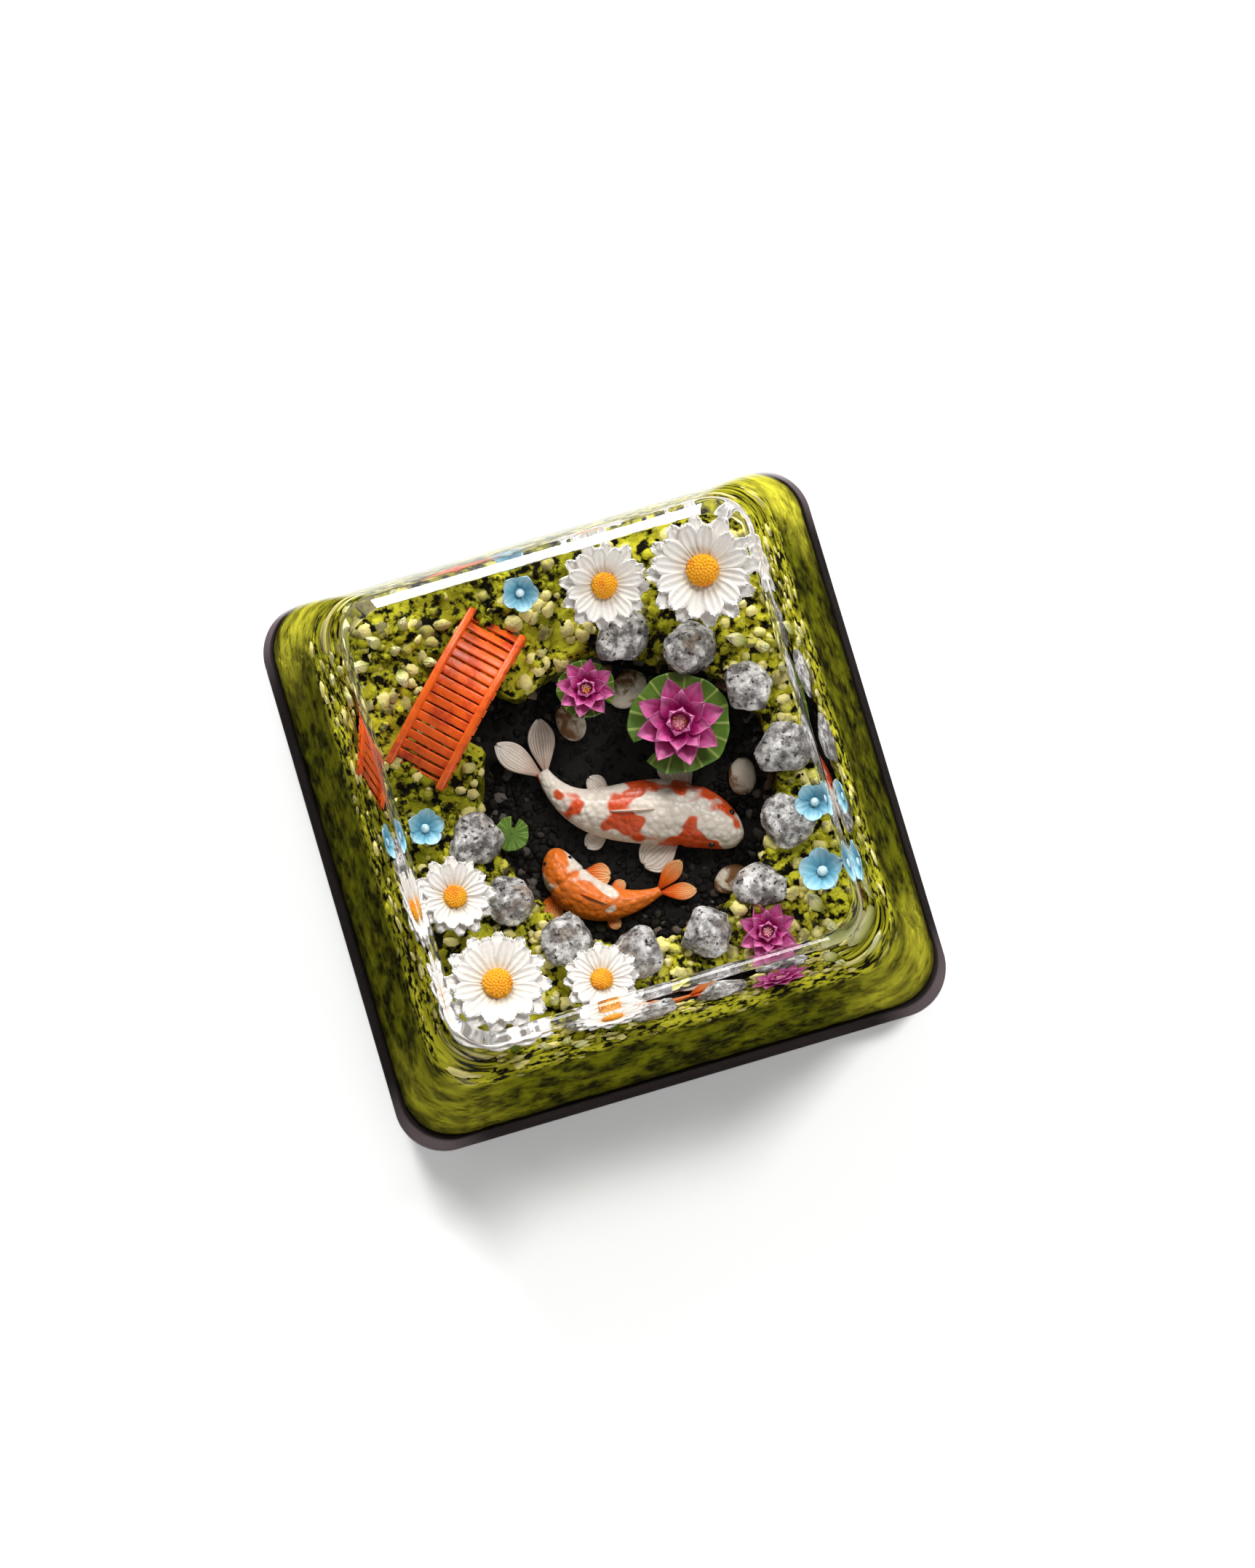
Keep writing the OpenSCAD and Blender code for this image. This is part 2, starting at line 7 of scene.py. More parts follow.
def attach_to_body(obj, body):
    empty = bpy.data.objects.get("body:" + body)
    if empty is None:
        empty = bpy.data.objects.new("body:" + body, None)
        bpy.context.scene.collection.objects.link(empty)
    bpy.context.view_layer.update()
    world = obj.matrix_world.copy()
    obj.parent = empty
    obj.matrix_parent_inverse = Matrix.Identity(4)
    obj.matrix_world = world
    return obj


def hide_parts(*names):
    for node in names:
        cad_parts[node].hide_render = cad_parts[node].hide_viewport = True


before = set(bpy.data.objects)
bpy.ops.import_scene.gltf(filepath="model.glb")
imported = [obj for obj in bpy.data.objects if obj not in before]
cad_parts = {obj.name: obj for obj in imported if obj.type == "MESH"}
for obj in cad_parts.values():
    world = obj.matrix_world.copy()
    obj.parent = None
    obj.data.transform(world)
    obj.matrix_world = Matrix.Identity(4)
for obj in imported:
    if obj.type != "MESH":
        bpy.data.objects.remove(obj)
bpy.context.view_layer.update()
mm = 0.001
print("frame loaded with", len(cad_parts), "nodes")

# The outside of the cap and the levels of the garden in it, in millimetres.
# The bevels are those of the sides, the back and the front: how wide, and the power of the arc.
cap = {"rim": (18.1, 18.1), "top": (12.9, 14.1), "height": 11.5, "bevel": 0.4,
       "bevels": [(0.3, 1.9), (0.52, 1.25), (0.36, 1.3)], "rimCorner": 1.6, "topCorner": 1.3, "rimRound": 0.12,
       "belly": 0.12, "lip": 1.4, "lipWall": 0.2, "wall": 0.7, "bed": 5.4, "bankTop": 7.3,
       "bankHalf": (6.415, 6.809), "garden": (6.4, 6.8)}
bevelLevel = cap["height"] - cap["bevel"]
quarter = math.pi / 2
goldenAngle = 137.5
upright = np.eye(3)


# A mixed-up number from 0 to 1 for each whole-numbered place
def scramble(cell, seed):
    h = cell[..., 0] * 73856093 ^ cell[..., 1] * 19349663 ^ cell[..., 2] * 83492791 ^ (seed * 7919 + 17)
    h = (h ^ (h >> 13)) * 1274126177 & 0xFFFFFFFF
    h = (h ^ (h >> 15)) * 668265263 & 0xFFFFFFFF
    return ((h ^ (h >> 16)) & 0xFFFF) / 65535.0


# Smooth noise from -1 to 1: a number at each corner of a unit lattice, blended by 3t^2 - 2t^3 along each axis
def wander(points, size, seed=0):
    p = points / size + 64.0
    cell = np.floor(p).astype(np.int64)
    t = p - cell
    t = t * t * (3 - 2 * t)
    total = 0
    for corner in np.ndindex(2, 2, 2):
        side = np.array(corner)
        total = total + scramble(cell + side, seed) * np.prod(np.where(side == 1, t, 1 - t), axis=-1)
    return total * 2 - 1


# Several sizes of noise, each half as large and half as strong as the one before
def roughen(points, size, octaves=3, seed=0):
    return sum(wander(points, size / 2 ** k, seed + k) / 2 ** k for k in range(octaves))


# Turns from one axis towards another as 3 x 3 matrices, one for each angle in degrees
def turnIn(first, second, angles):
    a = np.radians(np.atleast_1d(angles).astype(float))
    turned = np.tile(upright, (len(a), 1, 1))
    turned[:, first, first] = turned[:, second, second] = np.cos(a)
    turned[:, second, first] = np.sin(a)
    turned[:, first, second] = -np.sin(a)
    return turned


def turnX(angles): return turnIn(1, 2, angles)
def turnY(angles): return turnIn(2, 0, angles)
def turnZ(angles): return turnIn(0, 1, angles)


# Evenly spaced angles once round, in radians
def circle(count):
    return np.linspace(0, 2 * math.pi, count, endpoint=False)


# Points about the Z axis: radius times cosine and sine of an angle in degrees, and a height
def polar(radius, degrees, height):
    a = np.radians(degrees)
    return np.stack(np.broadcast_arrays(radius * np.cos(a), radius * np.sin(a), height), -1)


# Flat rings, each lifted to its height
def lifted(rings, heights):
    return np.concatenate([rings, np.broadcast_to(np.asarray(heights)[:, None, None], (*rings.shape[:2], 1))], -1)


# A closed skin over rings of points: quads between neighbouring rings, and at each end a fan to a middle point.
# With joined=True the last ring meets the first instead. The grain runs 0 to 1 over the rings and round them.
def shell(rings, joined=False):
    count, around = rings.shape[:2]
    index = np.arange(count * around).reshape(count, around)
    beside = np.roll(index, -1, axis=1)
    over, overBeside = np.roll(index, -1, axis=0), np.roll(beside, -1, axis=0)
    rows = count if joined else count - 1
    quads = np.stack([index[:rows], beside[:rows], overBeside[:rows], over[:rows]], -1).reshape(-1, 4)
    points = rings.reshape(-1, 3)
    along = np.repeat(np.linspace(0, 1, count), around)
    across = np.tile(np.linspace(0, 1, around, endpoint=False), count)
    tris = np.zeros((0, 3), int)
    if not joined:
        first = count * around
        tris = np.concatenate([np.stack([np.full(around, first), beside[0], index[0]], -1),
                               np.stack([np.full(around, first + 1), index[-1], beside[-1]], -1)])
        points = np.concatenate([points, rings[0].mean(0)[None], rings[-1].mean(0)[None]])
        along = np.append(along, [0, 1])
        across = np.append(across, [0.5, 0.5])
    corners = points[np.concatenate([quads[:, [0, 1, 2]], quads[:, [0, 2, 3]], tris])]
    volume = np.einsum("ij,ij->i", corners[:, 0], np.cross(corners[:, 1], corners[:, 2])).sum()
    if volume < 0:
        quads, tris = quads[:, ::-1], tris[:, ::-1]
    return points, quads, tris, np.stack([along, across, np.full(len(points), 0.5)], -1)


# One shape for several: their points one after another, with each one's faces counted on
def join(shapes):
    starts = np.cumsum([0] + [len(s[0]) for s in shapes[:-1]])
    quads, tris = (np.concatenate([s[kind] + start for s, start in zip(shapes, starts)]) for kind in (1, 2))
    return np.concatenate([s[0] for s in shapes]), quads, tris, np.concatenate([s[3] for s in shapes])


# A copy of a shape for each matrix and place; the tints go into the grain
def copies(shape, matrices, places, tints):
    points, quads, tris, grain = shape
    places = np.asarray(places, float).reshape(-1, 3)
    n, size = len(places), len(points)
    moved = np.einsum("nij,vj->nvi", np.broadcast_to(matrices, (n, 3, 3)), points) + places[:, None]
    step = np.arange(n)[:, None, None] * size
    grains = np.broadcast_to(grain, (n, size, 3)).copy()
    grains[..., 2] = np.broadcast_to(np.asarray(tints, float), n)[:, None]
    return (moved.reshape(-1, 3), (quads[None] + step).reshape(-1, 4), (tris[None] + step).reshape(-1, 3),
            grains.reshape(-1, 3))


def addObject(name, data):
    made = bpy.data.objects.new(name, data)
    bpy.context.scene.collection.objects.link(made)
    return made


# Puts shapes, each with its material, into one mesh that rides on the cap
def makePiece(name, parts, nodes=()):
    points, quads, tris, grain = join([shape for shape, finish in parts])
    mesh = bpy.data.meshes.new(name)
    mesh.vertices.add(len(points))
    mesh.vertices.foreach_set("co", (points * mm).astype(np.float32).ravel())
    corners = np.concatenate([quads.ravel(), tris.ravel()])
    mesh.loops.add(len(corners))
    mesh.loops.foreach_set("vertex_index", corners.astype(np.int32))
    sizes = np.repeat([4, 3], [len(quads), len(tris)])
    mesh.polygons.add(len(sizes))
    mesh.polygons.foreach_set("loop_start", (np.cumsum(sizes) - sizes).astype(np.int32))
    mesh.polygons.foreach_set("use_smooth", np.ones(len(sizes), bool))
    finishes = [np.full(len(shape[kind]), k) for kind in (1, 2) for k, (shape, finish) in enumerate(parts)]
    mesh.polygons.foreach_set("material_index", np.concatenate(finishes).astype(np.int32))
    for shape, finish in parts:
        mesh.materials.append(finish)
    layer = mesh.attributes.new("grain", "FLOAT_VECTOR", "POINT")
    layer.data.foreach_set("vector", grain.astype(np.float32).ravel())
    mesh.update(calc_edges=True)
    piece = addObject(name, mesh)
    if nodes:
        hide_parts(*nodes)
    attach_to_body(piece, "root")
    print("  ", name, len(quads) * 2 + len(tris), "triangles")


# A colour as it looks on screen, 0 to 255, as the shader's linear colour
def tone(red, green, blue):
    c = np.array([red, green, blue]) / 255
    linear = np.where(c <= 0.04045, c / 12.92, ((c + 0.055) / 1.055) ** 2.4)
    return (*[float(x) for x in linear], 1.0)


# One output of a node. Arithmetic on it adds a Math node.
class Wire:
    def __init__(self, graph, socket):
        self.graph, self.socket = graph, socket

    def __add__(self, other): return self.graph.math("ADD", self, other)
    def __radd__(self, other): return self.graph.math("ADD", other, self)
    def __sub__(self, other): return self.graph.math("SUBTRACT", self, other)
    def __rsub__(self, other): return self.graph.math("SUBTRACT", other, self)
    def __mul__(self, other): return self.graph.math("MULTIPLY", self, other)
    def __rmul__(self, other): return self.graph.math("MULTIPLY", other, self)


# A node tree, emptied, and what adds nodes to it
class Graph:
    def __init__(self, tree):
        self.tree = tree
        tree.nodes.clear()

    # Adds a node: its settings first, then the values or links of its sockets. Returns one of its outputs.
    def node(self, kind, settings, values, output=0):
        made = self.tree.nodes.new(kind)
        for key, value in settings.items():
            if key == "stops":
                ramp = made.color_ramp
                while len(ramp.elements) < len(value):
                    ramp.elements.new(0.5)
                for element, (place, colour) in zip(ramp.elements, value):
                    element.position, element.color = place, colour
            else:
                setattr(made, key, value)
        for key, value in values.items():
            if isinstance(value, Wire):
                self.tree.links.new(value.socket, made.inputs[key])
            else:
                made.inputs[key].default_value = value
        return Wire(self, made.outputs[output]) if len(made.outputs) else None

    def math(self, operation, *values):
        return self.node("ShaderNodeMath", {"operation": operation}, dict(enumerate(values)))

    def vector(self, operation, *values):
        return self.node("ShaderNodeVectorMath", {"operation": operation}, dict(enumerate(values)))

    def shaders(self, share, first, second):
        return self.node("ShaderNodeMixShader", {}, {0: share, 1: first, 2: second})

    # The three numbers of a vector
    def split(self, vector):
        outputs = self.node("ShaderNodeSeparateXYZ", {}, {"Vector": vector}).socket.node.outputs
        return [Wire(self, outputs[k]) for k in range(3)]

    # 1 for each named kind of ray
    def rays(self, *names):
        outputs = self.node("ShaderNodeLightPath", {}, {}).socket.node.outputs
        return [Wire(self, outputs[name]) for name in names]

    # 1 where the camera looks, also by a mirror or through the resin, and 0 for light that falls on things
    def looking(self):
        camera, mirrored, through = self.rays("Is Camera Ray", "Is Glossy Ray", "Is Transmission Ray")
        return self.math("MAXIMUM", self.math("MAXIMUM", camera, mirrored), through)


# A material: a Principled shader, if values are given for it, and the nodes that feed it
class Finish(Graph):
    def __init__(self, name, **shader):
        self.material = bpy.data.materials.new(name)
        self.material.use_nodes = True
        super().__init__(self.material.node_tree)
        if shader:
            values = {key.replace("_", " "): value for key, value in shader.items()}
            self.surface = self.node("ShaderNodeBsdfPrincipled", {}, values)
            self.show(self.surface)

    def show(self, surface):
        self.node("ShaderNodeOutputMaterial", {}, {"Surface": surface})
        return self.material

    def feed(self, **values):
        for key, value in values.items():
            self.tree.links.new(value.socket, self.surface.socket.node.inputs[key.replace("_", " ")])
        return self.material

    # Object coordinates in millimetres, stretched along the axes
    def place(self, stretch=(1, 1, 1)):
        coords = self.node("ShaderNodeTexCoord", {}, {}, "Object")
        return self.vector("MULTIPLY", coords, tuple(1000 * s for s in stretch))

    def noise(self, scale, detail=3.0, rough=0.55, where=None, warp=0.0):
        return self.node("ShaderNodeTexNoise", {}, {"Vector": where or self.place(), "Scale": scale,
                                                    "Detail": detail, "Roughness": rough, "Distortion": warp}, "Fac")

    def cells(self, scale, output="Distance"):
        return self.node("ShaderNodeTexVoronoi", {}, {"Vector": self.place(), "Scale": scale}, output)

    # How far along, how far across, and the copy's own tint
    def grain(self):
        return self.split(self.node("ShaderNodeAttribute", {"attribute_name": "grain"}, {}, "Vector"))

    def mix(self, share, a, b):
        return self.node("ShaderNodeMix", {"data_type": "RGBA", "clamp_factor": True}, {0: share, 6: a, 7: b}, 2)

    def ramp(self, value, *stops):
        return self.node("ShaderNodeValToRGB", {"stops": stops}, {"Fac": value})

    # A smooth step from 0 to 1 between two values
    def step(self, value, low, high):
        return self.node("ShaderNodeMapRange", {"interpolation_type": "SMOOTHSTEP"},
                         {"Value": value, "From Min": low, "From Max": high})

    # The depth is in millimetres
    def bump(self, height, depth):
        return self.node("ShaderNodeBump", {}, {"Height": height, "Distance": depth * mm, "Strength": 1.0})


# Clear resin: a shader that bends light and one that mirrors it. The mirror's share follows Fresnel, but between
# the steep and the grazing view it is held down, as a polarising filter does. Lamps and soft light pass straight
# to what lies in the resin.
def resinFinish(clear):
    f = Finish("clearResin")
    skin = f.bump(f.noise(0.3, 1.0), clear["wave"])
    bent = f.node("ShaderNodeBsdfRefraction", {}, {"Color": clear["tint"], "Roughness": clear["gloss"],
                                                   "IOR": clear["bend"], "Normal": skin})
    shine = f.node("ShaderNodeBsdfGlossy", {}, {"Color": (1, 1, 1, 1), "Roughness": clear["gloss"], "Normal": skin})
    fresnel = f.node("ShaderNodeFresnel", {}, {"IOR": clear["bend"], "Normal": skin})
    steep = f.math("MINIMUM", fresnel, clear["mirror"])
    grazing = f.step(fresnel, *clear["grazingFrom"]) * clear["grazing"]
    share = steep * (1 - f.step(fresnel, *clear["filterFrom"]) * clear["filter"]) + grazing
    through = f.node("ShaderNodeBsdfTransparent", {}, {"Color": clear["shade"]})
    lit = f.math("MAXIMUM", *f.rays("Is Shadow Ray", "Is Diffuse Ray"))
    return f.show(f.shaders(lit, f.shaders(share, bent, shine), through))


# Dark resin, clouded and finely gritty. The lip is paler, with a pinkish-grey painted reflection towards the
# corners, where |x * y| is large.
def coreFinish(dark):
    f = Finish("darkResin", Roughness=0.5, Specular_IOR_Level=0.08)
    cloud, grit = f.noise(0.7, 4), f.noise(9, 2)
    x, y, z = f.split(f.place())
    low = f.step(z, cap["lip"] + 0.1, cap["lip"] - 0.3)
    # painted reflection: the lip turns pinkish grey towards its four corners
    corner = f.step(f.math("ABSOLUTE", x * y), *dark["cornerFrom"])
    lip = f.mix(corner * 0.8, f.mix(cloud, dark["lip"], dark["lipWorn"]), dark["paintedReflection"])
    body = f.mix(low, f.mix(cloud, dark["deep"], dark["worn"]), lip)
    return f.feed(Base_Color=body, Roughness=0.34 + grit * 0.3, Normal=f.bump(grit, 0.012))


# Moss: lime and olive patches over dark earth on top, soft dim blobs down the sides, and painted light brightening
# the four corners
def mossFinish(moss):
    f = Finish("moss", Roughness=0.8, Specular_IOR_Level=0.05)
    x, y, z = f.split(f.place())
    corner = f.step(f.math("ABSOLUTE", x * y), *moss["cornerFrom"])
    above = f.step(z, cap["bankTop"] - 1.1, cap["bankTop"] - 0.15)
    tuft = f.noise(3.2, 4)
    top = f.mix(f.step(f.noise(0.42, 3, warp=0.4), 0.36, 0.58), moss["olive"], moss["lime"])
    top = f.mix(f.step(tuft, 0.42, 0.55), moss["earth"], top)
    top = f.mix(f.step(f.grain()[2], 0.5, 0.95) * 0.85, top, moss["pale"])
    blob = f.step(f.noise(1.3, 4, where=f.place((1, 1, 0.6))), 0.36, 0.66) * 0.85 + (tuft - 0.45) * 1.3
    side = f.mix(blob, moss["deep"], moss["sideOlive"])
    # painted light: the sides are painted brighter towards the corners, and most at the back right, where the key
    # lamp stands
    paintedKeyLight = 0.35 + f.step(x + y, -13, 13) * 0.65  # the moss is brightest at the back right corner
    side = f.mix(corner * (0.35 + blob * 0.65) * paintedKeyLight, side, moss["bright"])
    side = f.mix(f.step(z, cap["lip"] + 1.3, cap["lip"]) * 0.75, side, moss["deep"])
    return f.feed(Base_Color=f.mix(above, side, top), Normal=f.bump(f.noise(8, 4), 0.07))


inResin = 0.2  # poured over with resin, a skin mirrors far less than in air


# Matt enamel over modelling: a body colour, a second colour in patches, brush marks and a little wear
def enamelFinish(name, body, second, patch=(0.45, 0.62), size=0.8, gloss=0.38, coat=0.1, relief=0.02):
    f = Finish(name, Roughness=gloss, Specular_IOR_Level=inResin, Coat_Weight=coat, Coat_Roughness=0.2)
    marks = f.noise(3.5, 4, where=f.place((1, 0.45, 1)))
    colour = f.mix(f.step(f.noise(size, 4, warp=0.3), *patch), body, second)
    colour = f.mix(f.step(marks, 0.35, 0.7) * 0.35, colour, second)
    return f.feed(Base_Color=colour, Roughness=gloss - 0.08 + marks * 0.16,
                  Normal=f.bump(marks + f.noise(14, 2) * 0.4, relief))


# A petal's colour runs from its root to its tip, with fine veins along it
def petalFinish(name, root, middle, tip, gloss=0.42, streaks=0.15, rays=56.5):
    f = Finish(name, Roughness=gloss, Specular_IOR_Level=inResin)
    along, across = f.grain()[:2]
    blotch = f.noise(2.6, 3)
    veins = f.math("SINE", across * rays)
    shade = f.mix(f.step(blotch, 0.45, 0.8) * 0.3, f.ramp(along, (0.0, root), (0.45, middle), (1.0, tip)), root)
    return f.feed(Base_Color=f.mix(f.step(veins, 0.2, 1.0) * streaks, shade, root),
                  Roughness=gloss - 0.06 + blotch * 0.14, Normal=f.bump(veins * 0.3 + f.noise(9, 3), 0.018))


# Crumbly silver-grey mineral: metal flakes over dark pits
def stoneFinish(rock):
    f = Finish("silverStone", Roughness=0.5)
    crumb = f.noise(2.4, 6, 0.65)
    pit = f.step(f.noise(6.5, 5, 0.65), 0.34, 0.47)
    spark = f.split(f.cells(9, "Color"))[0]
    body = f.mix(f.step(crumb, 0.38, 0.66), rock["shade"], rock["silver"])
    body = f.mix(f.step(f.noise(0.9, 3) + f.grain()[2] * 0.16, 0.62, 0.8) * 0.7, body, rock["rust"])
    return f.feed(Base_Color=f.mix(pit, rock["pit"], body), Metallic=f.step(spark + crumb, 0.7, 1.2) * 0.8,
                  Roughness=0.26 + spark * 0.3, Normal=f.bump(f.noise(6, 6, 0.7) + spark * 0.25, 0.11))


# Smooth river pebbles: bone and cream clouds with sunken brown stains
def pebbleFinish(bone):
    f = Finish("bonePebble", Roughness=0.4, Specular_IOR_Level=inResin)
    stain = f.step(f.noise(1.5, 5, warp=0.8) + f.grain()[2] * 0.12, 0.5, 0.68)
    body = f.mix(f.noise(4, 4), bone["bone"], bone["cream"])
    return f.feed(Base_Color=f.mix(stain, body, bone["brown"]), Roughness=0.32 + stain * 0.2,
                  Normal=f.bump(f.noise(7, 5) - stain * 0.4, 0.035))


# Gravel: near-black grains and a few pale ones, by each grain's tint
def gravelFinish(bone):
    f = Finish("bedGravel", Roughness=0.5, Specular_IOR_Level=0.06)
    colour = f.ramp(f.grain()[2], (0.0, tone(5, 4, 4)), (0.45, tone(24, 20, 17)), (0.7, tone(120, 112, 104)),
                    (0.85, bone["brown"]), (1.0, bone["bone"]))
    return f.feed(Base_Color=f.mix(f.noise(5, 3) * 0.5, colour, tone(18, 15, 12)),
                  Normal=f.bump(f.noise(9, 4), 0.03))


# Koi skin: a body colour with large patches, and scales as small rounded cells with a darker net between
def koiFinish(name, body, patchColour, edges, shift):
    f = Finish(name, Roughness=0.3, Specular_IOR_Level=inResin, Coat_Weight=0.2, Coat_Roughness=0.08)
    patch = f.step(f.noise(0.62, 2, where=f.vector("ADD", f.place(), shift)), *edges)
    scale = f.cells(4.6)
    skin = f.mix(f.step(scale, 0.08, 0.55) * 0.25, f.mix(patch, body, patchColour), tone(150, 104, 70))
    return f.feed(Base_Color=skin, Roughness=0.26 + scale * 0.2, Normal=f.bump(1 - scale, 0.05))


# A lily pad: mottled green, with pale veins that run out from its middle, as a sine of the way round
def padFinish(pads):
    f = Finish("lilyPad", Roughness=0.42, Specular_IOR_Level=inResin)
    veins = f.step(f.math("SINE", f.grain()[0] * 100.5), 0.72, 0.98)
    body = f.mix(veins * 0.55, f.mix(f.noise(1.6, 4), pads["deep"], pads["green"]), pads["vein"])
    return f.feed(Base_Color=body, Normal=f.bump(veins * 0.6 + f.noise(5, 4) * 0.5, 0.03))


# Round-cornered rectangle: a quarter turn of radius r about each corner's centre, and evenly divided runs between.
# The half sizes and the radius may be lists, one entry for each ring.
def roundedRing(halfX, halfY, radius, arc=24, run=60):
    halfX, halfY, radius = [np.atleast_1d(np.asarray(v, float))[:, None] for v in (halfX, halfY, radius)]
    bends = []
    for k, (sx, sy) in enumerate([(1, 1), (-1, 1), (-1, -1), (1, -1)]):
        a = np.linspace(0, quarter, arc) + k * quarter
        bends.append(np.stack([sx * (halfX - radius) + radius * np.cos(a),
                               sy * (halfY - radius) + radius * np.sin(a)], -1))
    t = np.linspace(0, 1, run + 1)[1:-1][None, :, None]
    ring = []
    for bend, following in zip(bends, bends[1:] + bends[:1]):
        start, end = bend[:, -1:], following[:, :1]
        ring += [bend, start + (end - start) * t]
    return np.concatenate(ring, axis=1)


# How far up from the rim to the bevel a height is, 0 to 1
def climb(z):
    return np.clip(np.asarray(z, float) / bevelLevel, 0, 1)


# Half size of the cap at a height: the straight line from the rim to the bevel, with a bulge of 4s(1 - s)
def capHalf(z):
    s = climb(z)
    bulge = cap["belly"] * 4 * s * (1 - s)
    return [cap["rim"][k] / 2 + (cap["top"][k] - cap["rim"][k]) / 2 * s + bulge for k in range(2)]


# Corner radius of the cap at a height: a straight line from the rim's to the top's
def cornerAt(z):
    return cap["rimCorner"] + (cap["topCorner"] - cap["rimCorner"]) * climb(z)


# Flat rings of the cap's skin at heights z, set in by an amount
def setIn(z, inset=0.0, **counts):
    halfX, halfY = capHalf(z)
    return roundedRing(halfX - inset, halfY - inset, cornerAt(z) - inset / 2, **counts)


# The casting's skin: rings from the middle of the top out, over the bevel, down the sides, under the rim
# and up inside the dark core, where nothing of it is seen. The bevel is an oval arc |x|^n + |z|^n = 1, narrow and
# round at the sides, broad and nearly straight along the back and the front.
def resinSkin():
    topX, topY = np.array(cap["top"]) / 2
    shares = np.append(np.linspace(0.04, 0.97, 32), [0.985, 0.994, 0.9985])
    a = np.linspace(0, quarter, 21)
    crowns = []
    for wide, power in cap["bevels"]:
        flatTop = roundedRing((topX - wide) * shares, (topY - wide) * shares, (cap["topCorner"] - wide / 2) * shares)
        inset = wide * (1 - np.sin(a) ** (2 / power))
        edge = roundedRing(topX - inset, topY - inset, cap["topCorner"] - inset / 2)
        levels = np.append(np.full(len(shares), cap["height"]), bevelLevel + cap["bevel"] * np.cos(a) ** (2 / power))
        crowns.append(lifted(np.concatenate([flatTop, edge]), levels))
    sides, back, front = crowns
    y = sides[-1, :, 1] / topY
    atBack, atFront = [np.clip((way * y - 0.86) / 0.12, 0, 1)[None, :, None] for way in (1, -1)]
    crown = sides * (1 - atBack - atFront) + back * atBack + front * atFront
    foot, wall, lip, bed = cap["rimRound"], cap["wall"], cap["lip"], cap["bed"]
    z = np.append(bevelLevel - 0.012, np.linspace(bevelLevel - 0.05, foot, 70))
    a = np.linspace(0, quarter, 6)[1:]
    under = lifted(setIn(foot, foot * (1 - np.cos(a))), foot * (1 - np.sin(a)))
    inward, level = np.array([[cap["lipWall"] + 0.1, 0], [cap["lipWall"] + 0.1, lip - 0.15], [wall + 0.4, lip - 0.1],
                              [wall + 0.4, bed - 0.2], [wall + 3, bed - 0.2]]).T
    return shell(np.concatenate([crown, lifted(setIn(z), z), under, lifted(setIn(level, inward), level)]))


clear = {"tint": (0.985, 0.99, 0.98, 1), "shade": (0.97, 0.97, 0.96, 1), "gloss": 0.01, "bend": 1.49, "wave": 0.002,
         "mirror": 0.05, "filter": 0.98, "filterFrom": (0.08, 0.2), "grazing": 0.95, "grazingFrom": (0.55, 0.97)}
makePiece("clear_resin", [(resinSkin(), resinFinish(clear))], ["clear_casting"])
print("resin made")

# The lip's corner colour is a painted reflection, pinkish grey
dark = {"deep": tone(8, 7, 6), "worn": tone(26, 22, 20), "lip": tone(22, 17, 16), "lipWorn": tone(50, 42, 42),
        "paintedReflection": tone(116, 102, 106), "cornerFrom": (54, 71)}
coreSkin = coreFinish(dark)
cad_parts["core"].data.materials.clear()
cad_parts["core"].data.materials.append(coreSkin)


# A smooth skin on the core's lip, just inside the clear resin: rounded rings out, up and back in
def lipSkin():
    lip, wall = cap["lip"], cap["wall"]
    wallUp = [[0.185, z] for z in np.linspace(0.2, lip - 0.06, 12)]
    inset, z = np.array([[0.42, 0.03], [0.24, 0.03], [0.19, 0.08], *wallUp, [0.21, lip - 0.005], [0.30, lip + 0.012],
                         [wall + 0.12, lip + 0.012]]).T
    halfX, halfY = capHalf(z[-1:])
    back = roundedRing(halfX - inset[-1], halfY - inset[-1], 1.2)
    return shell(lifted(np.concatenate([setIn(z, inset), back]), np.append(z, lip - 0.2)), joined=True)


makePiece("core_lip", [(lipSkin(), coreSkin)])
print("core made")

# The garden's ground
pond = {"middle": np.array([0.7, -0.7]), "radius": 4.5, "wander": 0.12, "streamTurn": 135, "streamWidth": 1.9,
        "streamLength": 6.0, "shoulder": 0.6, "underMoss": 4.9}


# Radius of the shore in a direction: a circle that wanders by three sines, or the stream's straight sides and
# round end where they reach further
def shoreAt(degrees):
    a = np.radians(degrees)
    waves = np.sin(3 * a + math.radians(40)) + 0.6 * np.sin(5 * a) + 0.5 * np.sin(8 * a + math.radians(100))
    away = a - math.radians(pond["streamTurn"])
    aside, ahead = np.sin(away), np.cos(away)
    half, length = pond["streamWidth"] / 2, pond["streamLength"]
    sides = half / np.maximum(np.abs(aside), 1e-6)
    roundEnd = length * ahead + np.sqrt(np.maximum(half ** 2 - (length * aside) ** 2, 0))
    stream = np.where(ahead > 0, np.where(sides * ahead > length, roundEnd, sides), half)
    return np.maximum(pond["radius"] + pond["wander"] * waves, stream)


# Points about the pond's middle, and a spot given in shares of its radius or of the bank's half size
def roundPond(radius, degrees, height):
    return polar(radius, degrees, height) + [*pond["middle"], 0]


def inPond(x, y, z):
    return np.array([*(pond["middle"] + np.array([x, y]) * pond["radius"]), z])


def onBank(x, y, z=0.0):
    return np.array([x * cap["garden"][0], y * cap["garden"][1], cap["bankTop"] + z])


# Surface normals of a grid of points, from the cross product of its two directions
def gridNormals(points):
    down, side = (np.roll(points, -1, axis) - np.roll(points, 1, axis) for axis in (0, 1))
    n = np.cross(down, side)
    return n / np.maximum(np.linalg.norm(n, axis=-1, keepdims=True), 1e-9)


